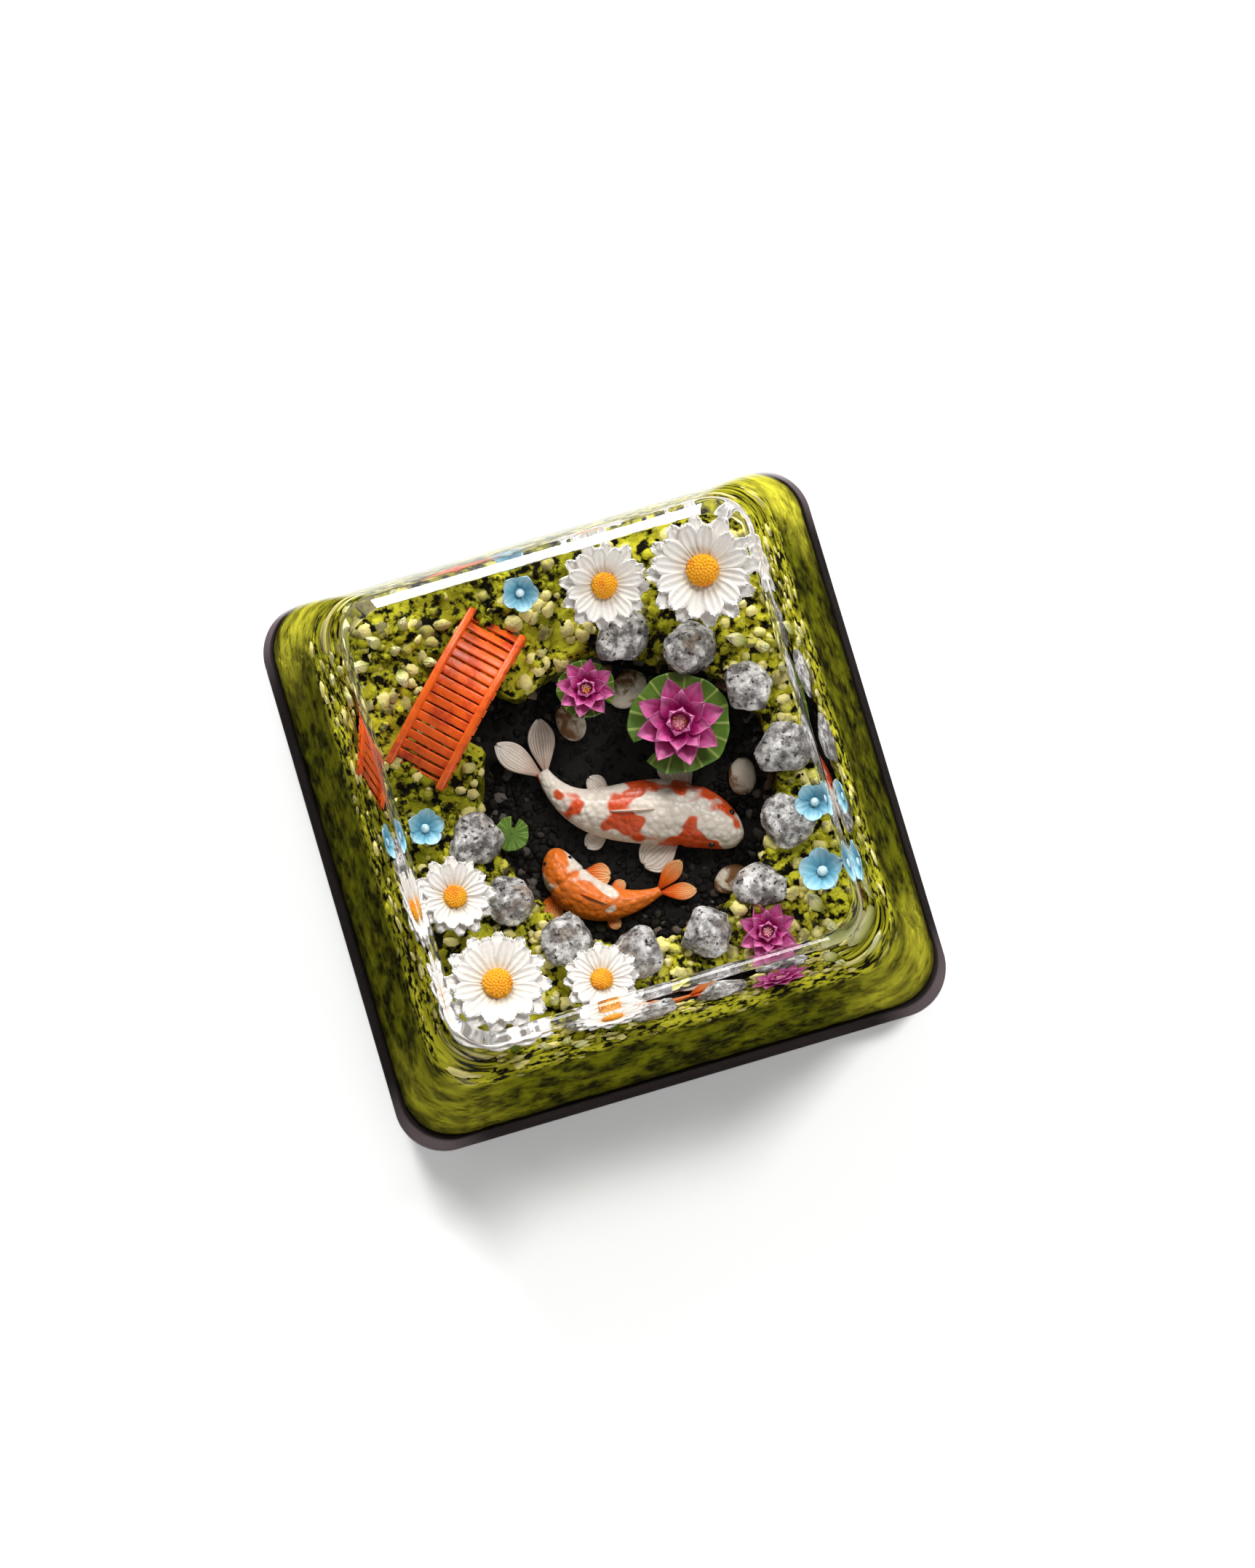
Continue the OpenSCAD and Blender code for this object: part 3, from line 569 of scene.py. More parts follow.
# The bank's rows: up the pond's wall with a slight lean, over its brink, out to the edge along rays from the pond's
# middle, over the shoulder in a quarter turn, down the side and back in under the moss
def bankRows():
    counts = {"arc": 30, "run": 121}
    shoulder, top, wall, bed, lip = pond["shoulder"], cap["bankTop"], cap["wall"], cap["bed"], cap["lip"]
    brink = top - shoulder
    ray = roundedRing(*cap["bankHalf"], cornerAt(top) - wall / 2, **counts)[0] - pond["middle"]
    reach = np.linalg.norm(ray, axis=1)
    ray = ray / reach[:, None]
    shore = np.minimum(shoreAt(np.degrees(np.arctan2(ray[:, 1], ray[:, 0]))), reach - 0.3)
    z = np.linspace(bed - 0.12, top - 0.1, 18)
    lean = 0.10 * ((z - bed) / (top - bed)) ** 2
    t = np.linspace(0, 1, 58)[:, None]
    out = np.concatenate([shore + lean[:, None], shore + 0.16 + (reach - shore - 0.16) * t])
    inner = lifted(pond["middle"] + ray * out[..., None], np.append(z, np.full(len(t), top)))
    a = np.linspace(0, quarter, 8)[1:]
    halfX, halfY = [flat + (edge - wall - flat) * np.sin(a) for flat, edge in zip(cap["bankHalf"], capHalf(brink))]
    bend = lifted(roundedRing(halfX, halfY, cornerAt(brink) - wall / 2, **counts), top - shoulder * (1 - np.cos(a)))
    z = np.linspace(brink, lip + 0.05, 66)[1:]
    halfX, halfY = capHalf(lip)
    back = roundedRing(halfX - wall - 0.9, halfY - wall - 0.9, 1.0, **counts)
    return np.concatenate([inner, bend, lifted(setIn(z, wall, **counts), z),
                           lifted(np.repeat(back, 2, axis=0), [lip + 0.02, pond["underMoss"]])])


# bright is painted light for the corners of the moss's sides
moss = {"lime": tone(194, 189, 48), "olive": tone(132, 130, 24), "earth": tone(14, 11, 4),
        "pale": tone(242, 228, 152), "deep": tone(26, 24, 5), "sideOlive": tone(112, 113, 12),
        "bright": tone(218, 210, 62), "cornerFrom": (37, 55), "clump": 0.13, "turf": 2200, "turfSize": (0.10, 0.27),
        "seed": 21}


# The moss skin: the bank's rows pushed out along their normals, by clumps of 1 - 2|noise| and by finer noise
def mossGround():
    rows = bankRows()
    normals = gridNormals(rows)
    height = moss["clump"] * (1.1 - 2.2 * np.abs(wander(rows, 0.62, 3))) + 0.07 * roughen(rows, 0.3, 2, 11)
    height[-2:] = 0
    height[:2] = np.minimum(height[:2], 0.05)
    return normals, rows + normals * (height * 0.75)[..., None]


bankNormals, bankSurface = mossGround()
mossSkin = mossFinish(moss)
makePiece("moss_ground", [(shell(bankSurface, joined=True), mossSkin)], ["moss_bank"])


# A unit sphere's points, cos(lat)cos(lon), cos(lat)sin(lon), sin(lat), in rows between the poles
def sphere(rows, around):
    lat = np.linspace(-quarter, quarter, rows + 2)[1:-1][:, None]
    lon = circle(around)
    return np.stack([np.cos(lat) * np.cos(lon), np.cos(lat) * np.sin(lon), np.sin(lat) + 0 * lon], -1)


# A lump: a sphere whose radius follows noise, squashed and cut off flat at a level
def lump(rows, around, half, rough=0.2, size=0.8, seed=0, foot=-1.0):
    ball = sphere(rows, around)
    points = ball * (1 + rough * roughen(ball + seed, size, 2, seed))[..., None]
    points[..., 2] = np.maximum(points[..., 2], foot)
    return shell(points * np.asarray(half, float))


# Loose turf on the moss: small lumps scattered over the bank's rows, turned at random and tinted singly
def scatterTurf():
    rng = np.random.default_rng(moss["seed"])
    n = moss["turf"]
    row = rng.integers(14, len(bankSurface) - 4, n)
    column = rng.integers(0, bankSurface.shape[1], n)
    places = bankSurface[row, column] - bankNormals[row, column] * 0.03
    size = rng.uniform(*moss["turfSize"], n) * np.where(row > 80, 0.6, 1.0)  # smaller down the sides
    spin = turnZ(rng.uniform(0, 360, n)) @ turnY(rng.uniform(0, 180, n))
    stretch = rng.uniform(0.6, 1.25, (n, 1, 3))
    tuft = lump(4, 7, (1, 1, 1), 0.3, 0.9, 4)
    return copies(tuft, spin * stretch * size[:, None, None], places, rng.uniform(0, 1, n))


makePiece("moss_turf", [(scatterTurf(), mossSkin)])
print("moss made")


# A boulder: a sphere cut by seeded planes, radius = the least plane height / cosine, then crumbled by noise
def boulder(half, seed, planes=15):
    rng = np.random.default_rng(seed)
    ball = sphere(44, 56)
    facing = rng.normal(size=(planes, 3))
    facing /= np.linalg.norm(facing, axis=1, keepdims=True)
    radius = (rng.uniform(0.78, 0.98, planes) / np.maximum(ball @ facing.T, 0.05)).min(-1)
    points = ball * np.minimum(radius, 1.08)[..., None]
    points += ball * (0.06 * roughen(points, 0.42, 4, seed))[..., None]
    points = points * half
    points[..., 2] = np.maximum(points[..., 2], -0.45 * half[2])
    return shell(points)


# Each stone: its slot in the ring, its size and its turn
stones = {"slots": 14, "ringOut": 0.35, "halfWidth": 0.92, "height": 0.85, "seed": 30,
          "list": [(0, 0.94, 10), (1, 0.84, 70), (2, 0.92, 25), (3, 0.94, 130), (7, 0.9, 15), (8, 0.86, 100),
                   (9, 0.96, 45), (10, 0.88, 160), (11, 0.94, 80), (12, 0.84, 220), (13, 0.96, 60)]}
rock = {"silver": tone(238, 235, 234), "shade": tone(104, 99, 98), "pit": tone(8, 7, 7), "rust": tone(150, 126, 104)}
stoneSkin = stoneFinish(rock)
for k, (slot, share, turn) in enumerate(stones["list"]):
    angle = slot * 360 / stones["slots"]
    wide = stones["halfWidth"] * share
    height = stones["height"] * (0.8 + 0.2 * math.sin(math.radians(turn)))
    half = np.array([wide, wide * 0.9, height * 0.72])
    centre = roundPond(pond["radius"] + stones["ringOut"], angle, cap["bankTop"] + height - half[2])
    shape = copies(boulder(half, stones["seed"] + k), turnZ(turn + angle), [centre], (k * 0.37) % 1)
    makePiece(f"ring_stone_{k + 1}", [(shape, stoneSkin)], [f"stone_{k + 1}"])
print("stones made")

# Each pebble: its spot in the pond, its size and its turn
pebbles = {"halfLength": 0.75, "seed": 60,
           "list": [(0.2, 0.72, 0.9, 30), (-0.24, 0.62, 0.8, 100), (0.78, -0.07, 0.8, 80), (0.5, -0.72, 0.75, 20)]}
bone = {"bone": tone(222, 206, 184), "cream": tone(240, 230, 214), "brown": tone(128, 86, 50)}
pebbleSkin = pebbleFinish(bone)
for k, (x, y, share, turn) in enumerate(pebbles["list"]):
    r = pebbles["halfLength"] * share
    shape = copies(lump(22, 34, (r, 0.72 * r, 0.33 * r), 0.08, 0.9, pebbles["seed"] + k, -0.9), turnZ(turn),
                   [inPond(x, y, cap["bed"] + 0.28 * r)], k * 0.3)
    makePiece(f"river_pebble_{k + 1}", [(shape, pebbleSkin)], [f"pebble_{k + 1}"])

gravel = {"count": 1500, "size": (0.07, 0.2), "seed": 8}


# Gravel on the bed: lumps scattered about the pond's middle, more of them and larger near the shore
def scatterGravel():
    rng = np.random.default_rng(gravel["seed"])
    count = gravel["count"]
    angle = rng.uniform(0, 360, count)
    share = rng.uniform(0, 1, count) ** 0.38
    places = roundPond(share * (shoreAt(angle) - 0.05), angle, cap["bed"])
    size = rng.uniform(*gravel["size"], count) * (0.55 + 0.55 * share ** 3)
    stretch = np.concatenate([rng.uniform(0.8, 1.4, (count, 1, 2)), rng.uniform(0.4, 0.7, (count, 1, 1))], -1)
    spin = turnZ(rng.uniform(0, 360, count)) @ (upright * stretch * size[:, None, None])
    return copies(lump(4, 8, (1, 1, 1), 0.2, 0.9, 2), spin, places,
                  rng.uniform(0, 1, count) ** 1.5 * (0.4 + 0.6 * share ** 4))


makePiece("bed_gravel", [(scatterGravel(), gravelFinish(bone))])
print("pebbles made")


# A petal, leaf or fin: flat oval sections strung along x. Its half width is width * sin(pi * u^front)^blunt,
# a section is thick * sin(a) high, the sides lift by cup * v^2, ridges run along as cos(ridges * pi * v), and the
# midline lifts by curl * u^2. The tip is scalloped by notch * cos(lobes * pi * v).
def petal(length, width, thick, cup=0.0, ridge=0.0, ridges=3, curl=0.0, front=1.0, blunt=0.6, notch=0.0, lobes=2,
          rows=12, around=18):
    u = np.linspace(0.02, 0.985, rows)[:, None]
    a = circle(around)
    v = np.cos(a)
    half = width * np.sin(math.pi * u ** front) ** blunt
    x = length * u * (1 + notch * np.cos(lobes * math.pi * v) * u ** 3)
    folds = ridge * np.cos(ridges * math.pi * v) * np.sin(math.pi * u)
    z = 0.5 * thick * np.sin(a) + cup * v ** 2 * np.minimum(1, 2 * u) + folds + curl * u ** 2
    return shell(np.stack([x, half * v, z], -1))


# Cosines and sines once round, with their sizes raised to a power: below 1 the circle turns squarer
def squared(count, power):
    a = circle(count)
    return [np.sign(w) * np.abs(w) ** power for w in (np.cos(a), np.sin(a))]


# A bar along a path of points. Its sections, |x|^square + |z|^square = 1, stand square to the path and upright.
def bar(path, halfWide, halfHigh, around=16, square=2.0):
    forward = np.gradient(path, axis=0)
    forward /= np.linalg.norm(forward, axis=1, keepdims=True)
    side = np.cross([0, 0, 1.0], forward)
    side /= np.linalg.norm(side, axis=1, keepdims=True)
    over = np.cross(forward, side)
    wide, high = [reach[:, None] for reach in squared(around, 2 / square)]
    return shell(path[:, None] + side[:, None] * wide * halfWide + over[:, None] * high * halfHigh)


# A stem: level round rings strung along a path of points
def stemAlong(path, radius, around=14):
    return shell(path[:, None] + polar(radius[:, None], np.degrees(circle(around)), 0.0))


# The koi's line from nose to tail, in shares of the pond's radius
koiBig = {"line": [(0.63, -0.51), (0.27, 0.09), (-0.36, -0.29), (-0.52, 0.34)], "half": 1.02}
koiLittle = {"line": [(-0.58, -0.18), (-0.66, -0.57), (-0.3, -0.74), (0.02, -0.66)], "half": 0.68}


# The line is a cubic curve through its first and last points: (1-t)^3, 3(1-t)^2 t, 3(1-t) t^2 and t^3 weigh the four
def bow(line, t):
    p = [inPond(x, y, 0.0) for x, y in line]
    t = np.asarray(t, float)[:, None]
    return (1 - t) ** 3 * p[0] + 3 * (1 - t) ** 2 * t * p[1] + 3 * (1 - t) * t ** 2 * p[2] + t ** 3 * p[3]


# Body rings carried along the line: the half width rises as a power curve to the widest at a third and falls as a
# cosine, with a flat belly and a slightly pinched gill line
def koiShapes(koi):
    r, line = koi["half"], koi["line"]
    t = 0.004 + 0.996 * np.linspace(0, 1, 64) ** 1.15
    centre = bow(line, t) + [0, 0, cap["bed"] + 0.5 * r]
    direction = bow(line, np.minimum(1, t + 0.01)) - bow(line, np.maximum(0, t - 0.01))
    direction /= np.linalg.norm(direction, axis=1, keepdims=True)
    normal = np.stack([-direction[:, 1], direction[:, 0], 0 * t], -1)
    widest = 0.32
    front = np.sqrt(np.maximum(1 - np.abs(1 - t / widest) ** 2.2, 0))
    back = 0.2 + 0.8 * np.cos(quarter * np.clip((t - widest) / (1 - widest), 0, 1)) ** 1.15
    w = r * np.where(t < widest, front, back) * (1 - 0.07 * np.exp(-((t - 0.235) / 0.018) ** 2))
    a = circle(40)
    rings = centre[:, None] + normal[:, None] * (w[:, None] * np.cos(a))[..., None]
    rings[..., 2] += np.maximum(0.74 * w[:, None] * np.sin(a) * (1 + 0.1 * (np.sin(a) > 0.9)), -0.5 * r) + 0.01

    # A fin at a share of the line, turned out and leaned, and moved ahead, aside and up by shares of r
    def attach(fin, share, turn, lean, ahead, aside, up):
        k = np.abs(t - share).argmin()
        heading = math.degrees(math.atan2(direction[k, 1], direction[k, 0]))
        place = centre[k] + (direction[k] * ahead + normal[k] * aside + [0, 0, up]) * r
        return copies(fin, turnZ(heading + turn) @ lean, [place], 0.3)

    chest = petal(1.45 * r, 0.56 * r, 0.05, ridge=0.022, ridges=13, curl=-0.06 * r, front=1.9, blunt=0.62,
                  notch=0.05, lobes=6, rows=26, around=84)
    belly = petal(0.95 * r, 0.3 * r, 0.04, ridge=0.016, ridges=9, front=1.9, blunt=0.66, notch=0.05, lobes=4,
                  rows=18, around=60)
    upper = petal(1.5 * r, 0.3 * r, 0.06, ridge=0.012, ridges=7, front=0.8, blunt=0.5, rows=20, around=40)
    fins = []
    for s in (-1, 1):
        tail = petal(1.8 * r, 0.42 * r, 0.05, ridge=0.022, ridges=11, curl=s * 0.16 * r, front=1.7, blunt=0.75,
                     notch=0.05, lobes=4, rows=28, around=72)
        fins += [attach(chest, 0.24, s * 50, turnY(5), 0, s * 0.6, -0.08),
                 attach(belly, 0.6, s * 40, turnY(5), 0, s * 0.42, -0.16),
                 attach(tail, 0.985, s * 24, turnX(s * 12), -0.12, 0, 0)]
    fins.append(attach(upper, 0.47, 0, turnX(90), -0.7, 0, 0.62))
    k = np.abs(t - 0.09).argmin()
    places = [centre[k] + normal[k] * s * w[k] * 0.8 + [0, 0, 0.74 * w[k] * 0.52] for s in (-1, 1)]
    return shell(rings), join(fins), copies(lump(12, 16, [0.1 * r] * 3, 0.0), upright, places, 0.5)


def makeKoi(name, koi, skin, fin, node):
    body, fins, eyes = koiShapes(koi)
    eyeFinish = enamelFinish(name + "Eye", tone(16, 12, 10), tone(40, 30, 24), gloss=0.12)
    makePiece(name, [(body, skin), (fins, fin), (eyes, eyeFinish)], [node])


white, orange, vermilion = tone(240, 232, 220), tone(236, 116, 20), tone(220, 68, 8)
whiteFin = petalFinish("koiWhiteFin", tone(196, 152, 128), tone(238, 224, 210), tone(246, 240, 232), streaks=0.6,
                       rays=169.6)
orangeFin = petalFinish("koiOrangeFin", vermilion, orange, tone(250, 200, 136), streaks=0.6, rays=169.6)
makeKoi("koi_white", koiBig, koiFinish("koiWhite", white, vermilion, (0.5, 0.54), (3.1, 0.4, 0.0)), whiteFin,
        "koi_large")
makeKoi("koi_orange", koiLittle, koiFinish("koiOrange", orange, white, (0.58, 0.62), (0.0, 5.0, 1.0)), orangeFin,
        "koi_small")
print("koi made")

# The bridge: boards across an arch, beams under them, and two rails on turned posts
bridge = {"span": 5.3, "width": 2.0, "rise": 0.95, "railHeight": 0.62, "rail": 0.26, "post": 0.2, "out": 1.5,
          "boards": 17, "posts": 5, "turn": 135, "seed": 4}
halfSpan, halfWidth = bridge["span"] / 2, bridge["width"] / 2
bridgeRadius = (halfSpan ** 2 + bridge["rise"] ** 2) / (2 * bridge["rise"])
bridgePlace = roundPond(pond["radius"] + bridge["out"], bridge["turn"], cap["bankTop"])


# Points along the bridge. The arch is a circle, sqrt(radius^2 - x^2) high, its radius grown by lift; then raised.
def overArch(x, aside, lift=0.0, raised=0.0):
    height = np.sqrt((bridgeRadius + lift) ** 2 - x ** 2) + bridge["rise"] - bridgeRadius
    return np.stack(np.broadcast_arrays(x, aside, height + raised), -1)


def onBridge(shape):
    return copies(shape, turnZ(bridge["turn"] + 90), [bridgePlace], 0.5)


# Squarish bars across the span, each turned to the arch's slope, asin(x / radius), over three thin beams
def bridgeDeck():
    rng = np.random.default_rng(bridge["seed"])
    x = np.linspace(-halfSpan + 0.16, halfSpan - 0.16, bridge["boards"])
    y = np.linspace(-halfWidth, halfWidth, 12)
    board = bar(np.stack([0 * y, y, 0.008 * np.sin(5 * y)], -1), (x[1] - x[0]) * 0.44, 0.06, 20, 5.0)
    places = overArch(x, rng.uniform(-0.02, 0.02, len(x)), 0.0, -0.07)
    slope = np.degrees(np.arcsin(x / bridgeRadius))
    parts = [copies(board, turnZ(rng.uniform(-0.8, 0.8, len(x))) @ turnY(slope), places, rng.uniform(0, 1, len(x)))]
    s = np.linspace(-halfSpan + 0.05, halfSpan - 0.05, 60)
    return join(parts + [bar(overArch(s, side * (halfWidth - 0.22), 0.0, -0.17), 0.06, 0.05, 12, 4.0)
                         for side in (-1, 0, 1)])


# A rail and a thinner bar along the arch, and posts whose radius swells by exp(-d^2) at foot, middle and head
def bridgeRail(side):
    thick = bridge["rail"]
    y = side * (halfWidth - thick / 2)
    s = np.linspace(-halfSpan + 0.02, halfSpan - 0.02, 90)
    lift = bridge["railHeight"] - thick / 2
    rail = bar(overArch(s, y, lift), thick / 2 * 0.95, thick / 2 * 0.9, 20, 2.8)
    middle = bar(overArch(s, y, lift * 0.42), 0.05, 0.05, 12, 3.0)
    count = bridge["posts"]
    x = (np.arange(count) - (count - 1) / 2) * (bridge["span"] - 3 * thick) / (count - 1)
    u = np.linspace(0, 1, 26)[:, None]
    swell = sum(much * np.exp(-((u - at) / 0.05) ** 2) for much, at in ((0.22, 0.5), (0.18, 0.06), (0.3, 0.97)))
    r = bridge["post"] / 2 * (1 + swell - 0.12 * np.sin(math.pi * u) ** 2)
    c, s = squared(20, 0.6)
    post = shell(np.stack([r * c, r * s, u * (lift + 0.02) + 0 * c], -1))
    return join([rail, middle, copies(post, upright, overArch(x, y, 0.0, -0.01), 0.4)])


lacquer = enamelFinish("orangeLacquer", tone(230, 96, 20), tone(176, 48, 10), (0.5, 0.7), 1.4, 0.34, 0.15, 0.03)
makePiece("bridge_boards", [(onBridge(bridgeDeck()), lacquer)], ["bridge_deck"])
makePiece("bridge_rail_west", [(onBridge(bridgeRail(1)), lacquer)], ["bridge_rail_left"])
makePiece("bridge_rail_east", [(onBridge(bridgeRail(-1)), lacquer)], ["bridge_rail_right"])
print("bridge made")

# Each pad: its spot in the pond, its radius as a share of the pond's, and the turn of its notch
pads = {"list": [(0.46, 0.37, 0.35, 200), (-0.08, 0.77, 0.2, 300), (-0.84, -0.03, 0.12, 60)], "thick": 0.1,
        "notch": 26, "stem": 0.12, "green": tone(104, 138, 44), "deep": tone(44, 74, 24), "vein": tone(168, 184, 96)}


# A pad: its radial section, a thin leaf with a rim lifted by s^6 and rounded by sqrt(1 - s^8), swept round from one
# side of the notch to the other, with small sines in its radius and height
def lilyPad(radius, turn):
    angles = np.linspace(pads["notch"] / 2, 360 - pads["notch"] / 2, 150)[:, None] + turn
    a = np.radians(angles)
    u = np.linspace(0.06, 1, 26)
    s = np.append(u, u[::-1])
    side = np.repeat([1.0, -1.0], 26)
    lift = 0.09 * s ** 6 * radius + 0.015 * np.sin(9 * a) * s ** 2
    z = cap["bankTop"] - 0.07 + lift + side * (pads["thick"] / 2 * np.sqrt(np.maximum(1 - s ** 8, 0)) + 0.004)
    return shell(polar(radius * s * (1 + 0.025 * np.sin(5 * a) + 0.012 * np.sin(11 * a)) * 0.985, angles, z))


padSkin = padFinish(pads)
for k, (x, y, share, turn) in enumerate(pads["list"]):
    foot = inPond(x, y, 0)
    leaf = copies(lilyPad(share * pond["radius"], turn), upright, [foot], 0.5)
    z = np.linspace(cap["bed"], cap["bankTop"] - 0.04, 16)
    path = np.stack([0.02 * np.sin(3 * z), 0.02 * np.cos(2 * z), z], -1) + foot
    stem = stemAlong(path, pads["stem"] * (1 + 0.9 * np.exp(-((z - cap["bankTop"]) / 0.12) ** 2)))
    makePiece(f"lily_pad_leaf_{k + 1}", [(join([leaf, stem]), padSkin)], [f"lily_pad_{k + 1}"])
print("lily pads made")


# A flower's head: how it leans, and its place on the bank
def headAt(x, y, height, tilt, turn):
    return (turnZ(turn) @ turnY(tilt))[0], onBank(x, y, height)


# Copies of a shape on a head, at spots that lean with it
def onHead(head, shape, matrices, spots, tints):
    lean, place = head
    return copies(shape, lean @ matrices, np.asarray(spots, float) @ lean.T + place, tints)


# A ring of petals on a head: evenly spread, lifted by tilt, and each off by a few degrees at random
def petalRing(head, rng, leaf, count, start, radius, level, tilt, sway=(4, 3), sizes=None):
    angles = start + np.arange(count) * 360 / count + rng.uniform(-sway[0], sway[0], count)
    size = rng.uniform(*sizes, count)[:, None, None] if sizes else 1
    matrices = turnZ(angles) @ turnY(-tilt + rng.uniform(-sway[1], sway[1], count)) * size
    return onHead(head, leaf, matrices, polar(radius, angles, level), rng.uniform(0, 1, count))


# The spiral of a flower's middle: each knob a golden angle on from the last, its radius growing as a square root
def spiral(count, reach):
    n = np.arange(count)
    return reach * np.sqrt((n + 0.5) / count), n * goldenAngle


# A stalk from the bank to a head: a round bar with a slight swell at its top
def stalk(x, y, height, half):
    z = np.linspace(-0.05, height, 14)
    return stemAlong(np.stack([0 * z, 0 * z, z], -1) + onBank(x, y),
                     half * (1 + 0.25 * np.exp(-((z - height) / 0.15) ** 2)))


# Each lotus: its place, its size and its turn. Each layer of petals: how many, their length, tilt, width and level,
# and how far the layer is turned.
lotus = {"radius": 1.35, "seed": 70,
         "list": [(inPond(0.46, 0.37, cap["bankTop"]), 1.0, 0),
                  (inPond(-0.08, 0.77, cap["bankTop"]), 0.66, 20), (onBank(0.55, -0.87), 0.66, 10)],
         "layers": [(8, 1.0, 13, 0.30, 0.05, 0), (8, 0.82, 33, 0.25, 0.08, 22.5), (6, 0.58, 58, 0.2, 0.1, 0)]}
lotusSkin = petalFinish("lotusPetal", tone(112, 12, 72), tone(190, 40, 128), tone(236, 150, 200), 0.36)
heartSkin = enamelFinish("lotusHeart", tone(244, 190, 206), tone(236, 176, 60), (0.5, 0.65), 5.0, 0.4)
for k, (place, share, turn) in enumerate(lotus["list"]):
    r = lotus["radius"] * share
    rng = np.random.default_rng(lotus["seed"] + k)
    head = (upright, place)
    parts = []
    for count, reach, tilt, wide, level, shift in lotus["layers"]:
        leaf = petal(r * reach, r * wide, 0.07, cup=0.26 * r * wide * 2, curl=0.10 * r, front=0.85, blunt=0.8,
                     ridge=0.01, ridges=5, rows=18, around=22)
        parts.append(petalRing(head, rng, leaf, count, turn + shift, 0.1 * r, level, tilt))
    parts.append(onHead(head, lump(8, 16, (0.24 * r, 0.24 * r, 0.12), 0.03), upright, [0, 0, 0.08], 0.2))
    makePiece(f"lotus_flower_{k + 1}", [(join(parts), lotusSkin)], [f"lotus_{k + 1}"])
    spread, angles = spiral(16, 0.16 * r)
    knobs = onHead(head, lump(5, 8, (0.035, 0.035, 0.13), 0.0), upright, polar(spread, angles, 0.33 * share + 0.12),
                   rng.uniform(0, 1, len(spread)))
    disc = onHead(head, lump(10, 20, (0.2 * r, 0.2 * r, 0.16), 0.04), upright, [0, 0, 0.3 * share + 0.02], 0.5)
    makePiece(f"lotus_middle_{k + 1}", [(join([disc, knobs]), heartSkin)], [f"lotus_heart_{k + 1}"])
print("lotuses made")

# Each daisy: its spot on the bank, its size, height, tilt and turn. Each layer: length, tilt, level and turn.
daisies = {"radius": 1.75, "petals": 12, "seed": 90, "layers": [(1.0, 6, 0.03, 0), (0.86, 13, 0.1, 15)],
           "list": [(0.74, 0.75, 1.0, 2.0, 14, 230), (0.27, 0.82, 0.8, 1.45, 16, 280),
                    (-0.75, -0.77, 0.94, 1.9, 14, 45), (-0.83, -0.34, 0.72, 1.35, 18, 20),
                    (-0.27, -0.88, 0.68, 1.3, 16, 80)]}
# The daisy petals' greyer, darker root colour is painted shade where the petals meet round the eye
daisySkin = petalFinish("daisyPetal", tone(206, 192, 164), tone(238, 232, 226), tone(244, 240, 237), 0.4)
eyeSkin = enamelFinish("daisyEye", tone(240, 168, 22), tone(222, 120, 12), (0.5, 0.75), 2.2, 0.36, 0.1, 0.03)
stalkSkin = enamelFinish("stalk", tone(96, 116, 36), tone(60, 76, 22))
for k, (x, y, share, height, tilt, turn) in enumerate(daisies["list"]):
    r = daisies["radius"] * share
    rng = np.random.default_rng(daisies["seed"] + k)
    head = headAt(x, y, height, tilt, turn)
    parts = []
    for reach, lift, level, shift in daisies["layers"]:
        leaf = petal(r * reach * 0.8, r * 0.205, 0.13, cup=0.07, ridge=0.028, ridges=3, curl=0.03 * r, front=1.5,
                     blunt=0.42, notch=0.07, lobes=3, rows=16, around=26)
        parts.append(petalRing(head, rng, leaf, daisies["petals"], shift, 0.2 * r, level, lift, (3, 4),
                               (0.93, 1.02)))
    parts.append(onHead(head, lump(8, 20, (0.3 * r, 0.3 * r, 0.09), 0.0), upright, [0, 0, 0.09], 0.5))
    makePiece(f"daisy_flower_{k + 1}", [(join(parts), daisySkin), (stalk(x, y, height, 0.16), stalkSkin)],
              [f"daisy_{k + 1}"])
    spread, angles = spiral(70, 0.25 * r)
    dome = 0.17 * r * np.sqrt(np.maximum(1 - (spread / (0.31 * r)) ** 2, 0)) + 0.16
    florets = onHead(head, lump(4, 7, (0.045 * r, 0.045 * r, 0.04 * r), 0.0), upright, polar(spread, angles, dome),
                     rng.uniform(0, 1, len(spread)))
    button = onHead(head, lump(12, 30, (0.29 * r, 0.29 * r, 0.17 * r), 0.05, 0.7, 3 + k), upright, [0, 0, 0.17], 0.5)
    makePiece(f"daisy_middle_{k + 1}", [(join([button, florets]), eyeSkin)], [f"daisy_eye_{k + 1}"])
print("daisies made")

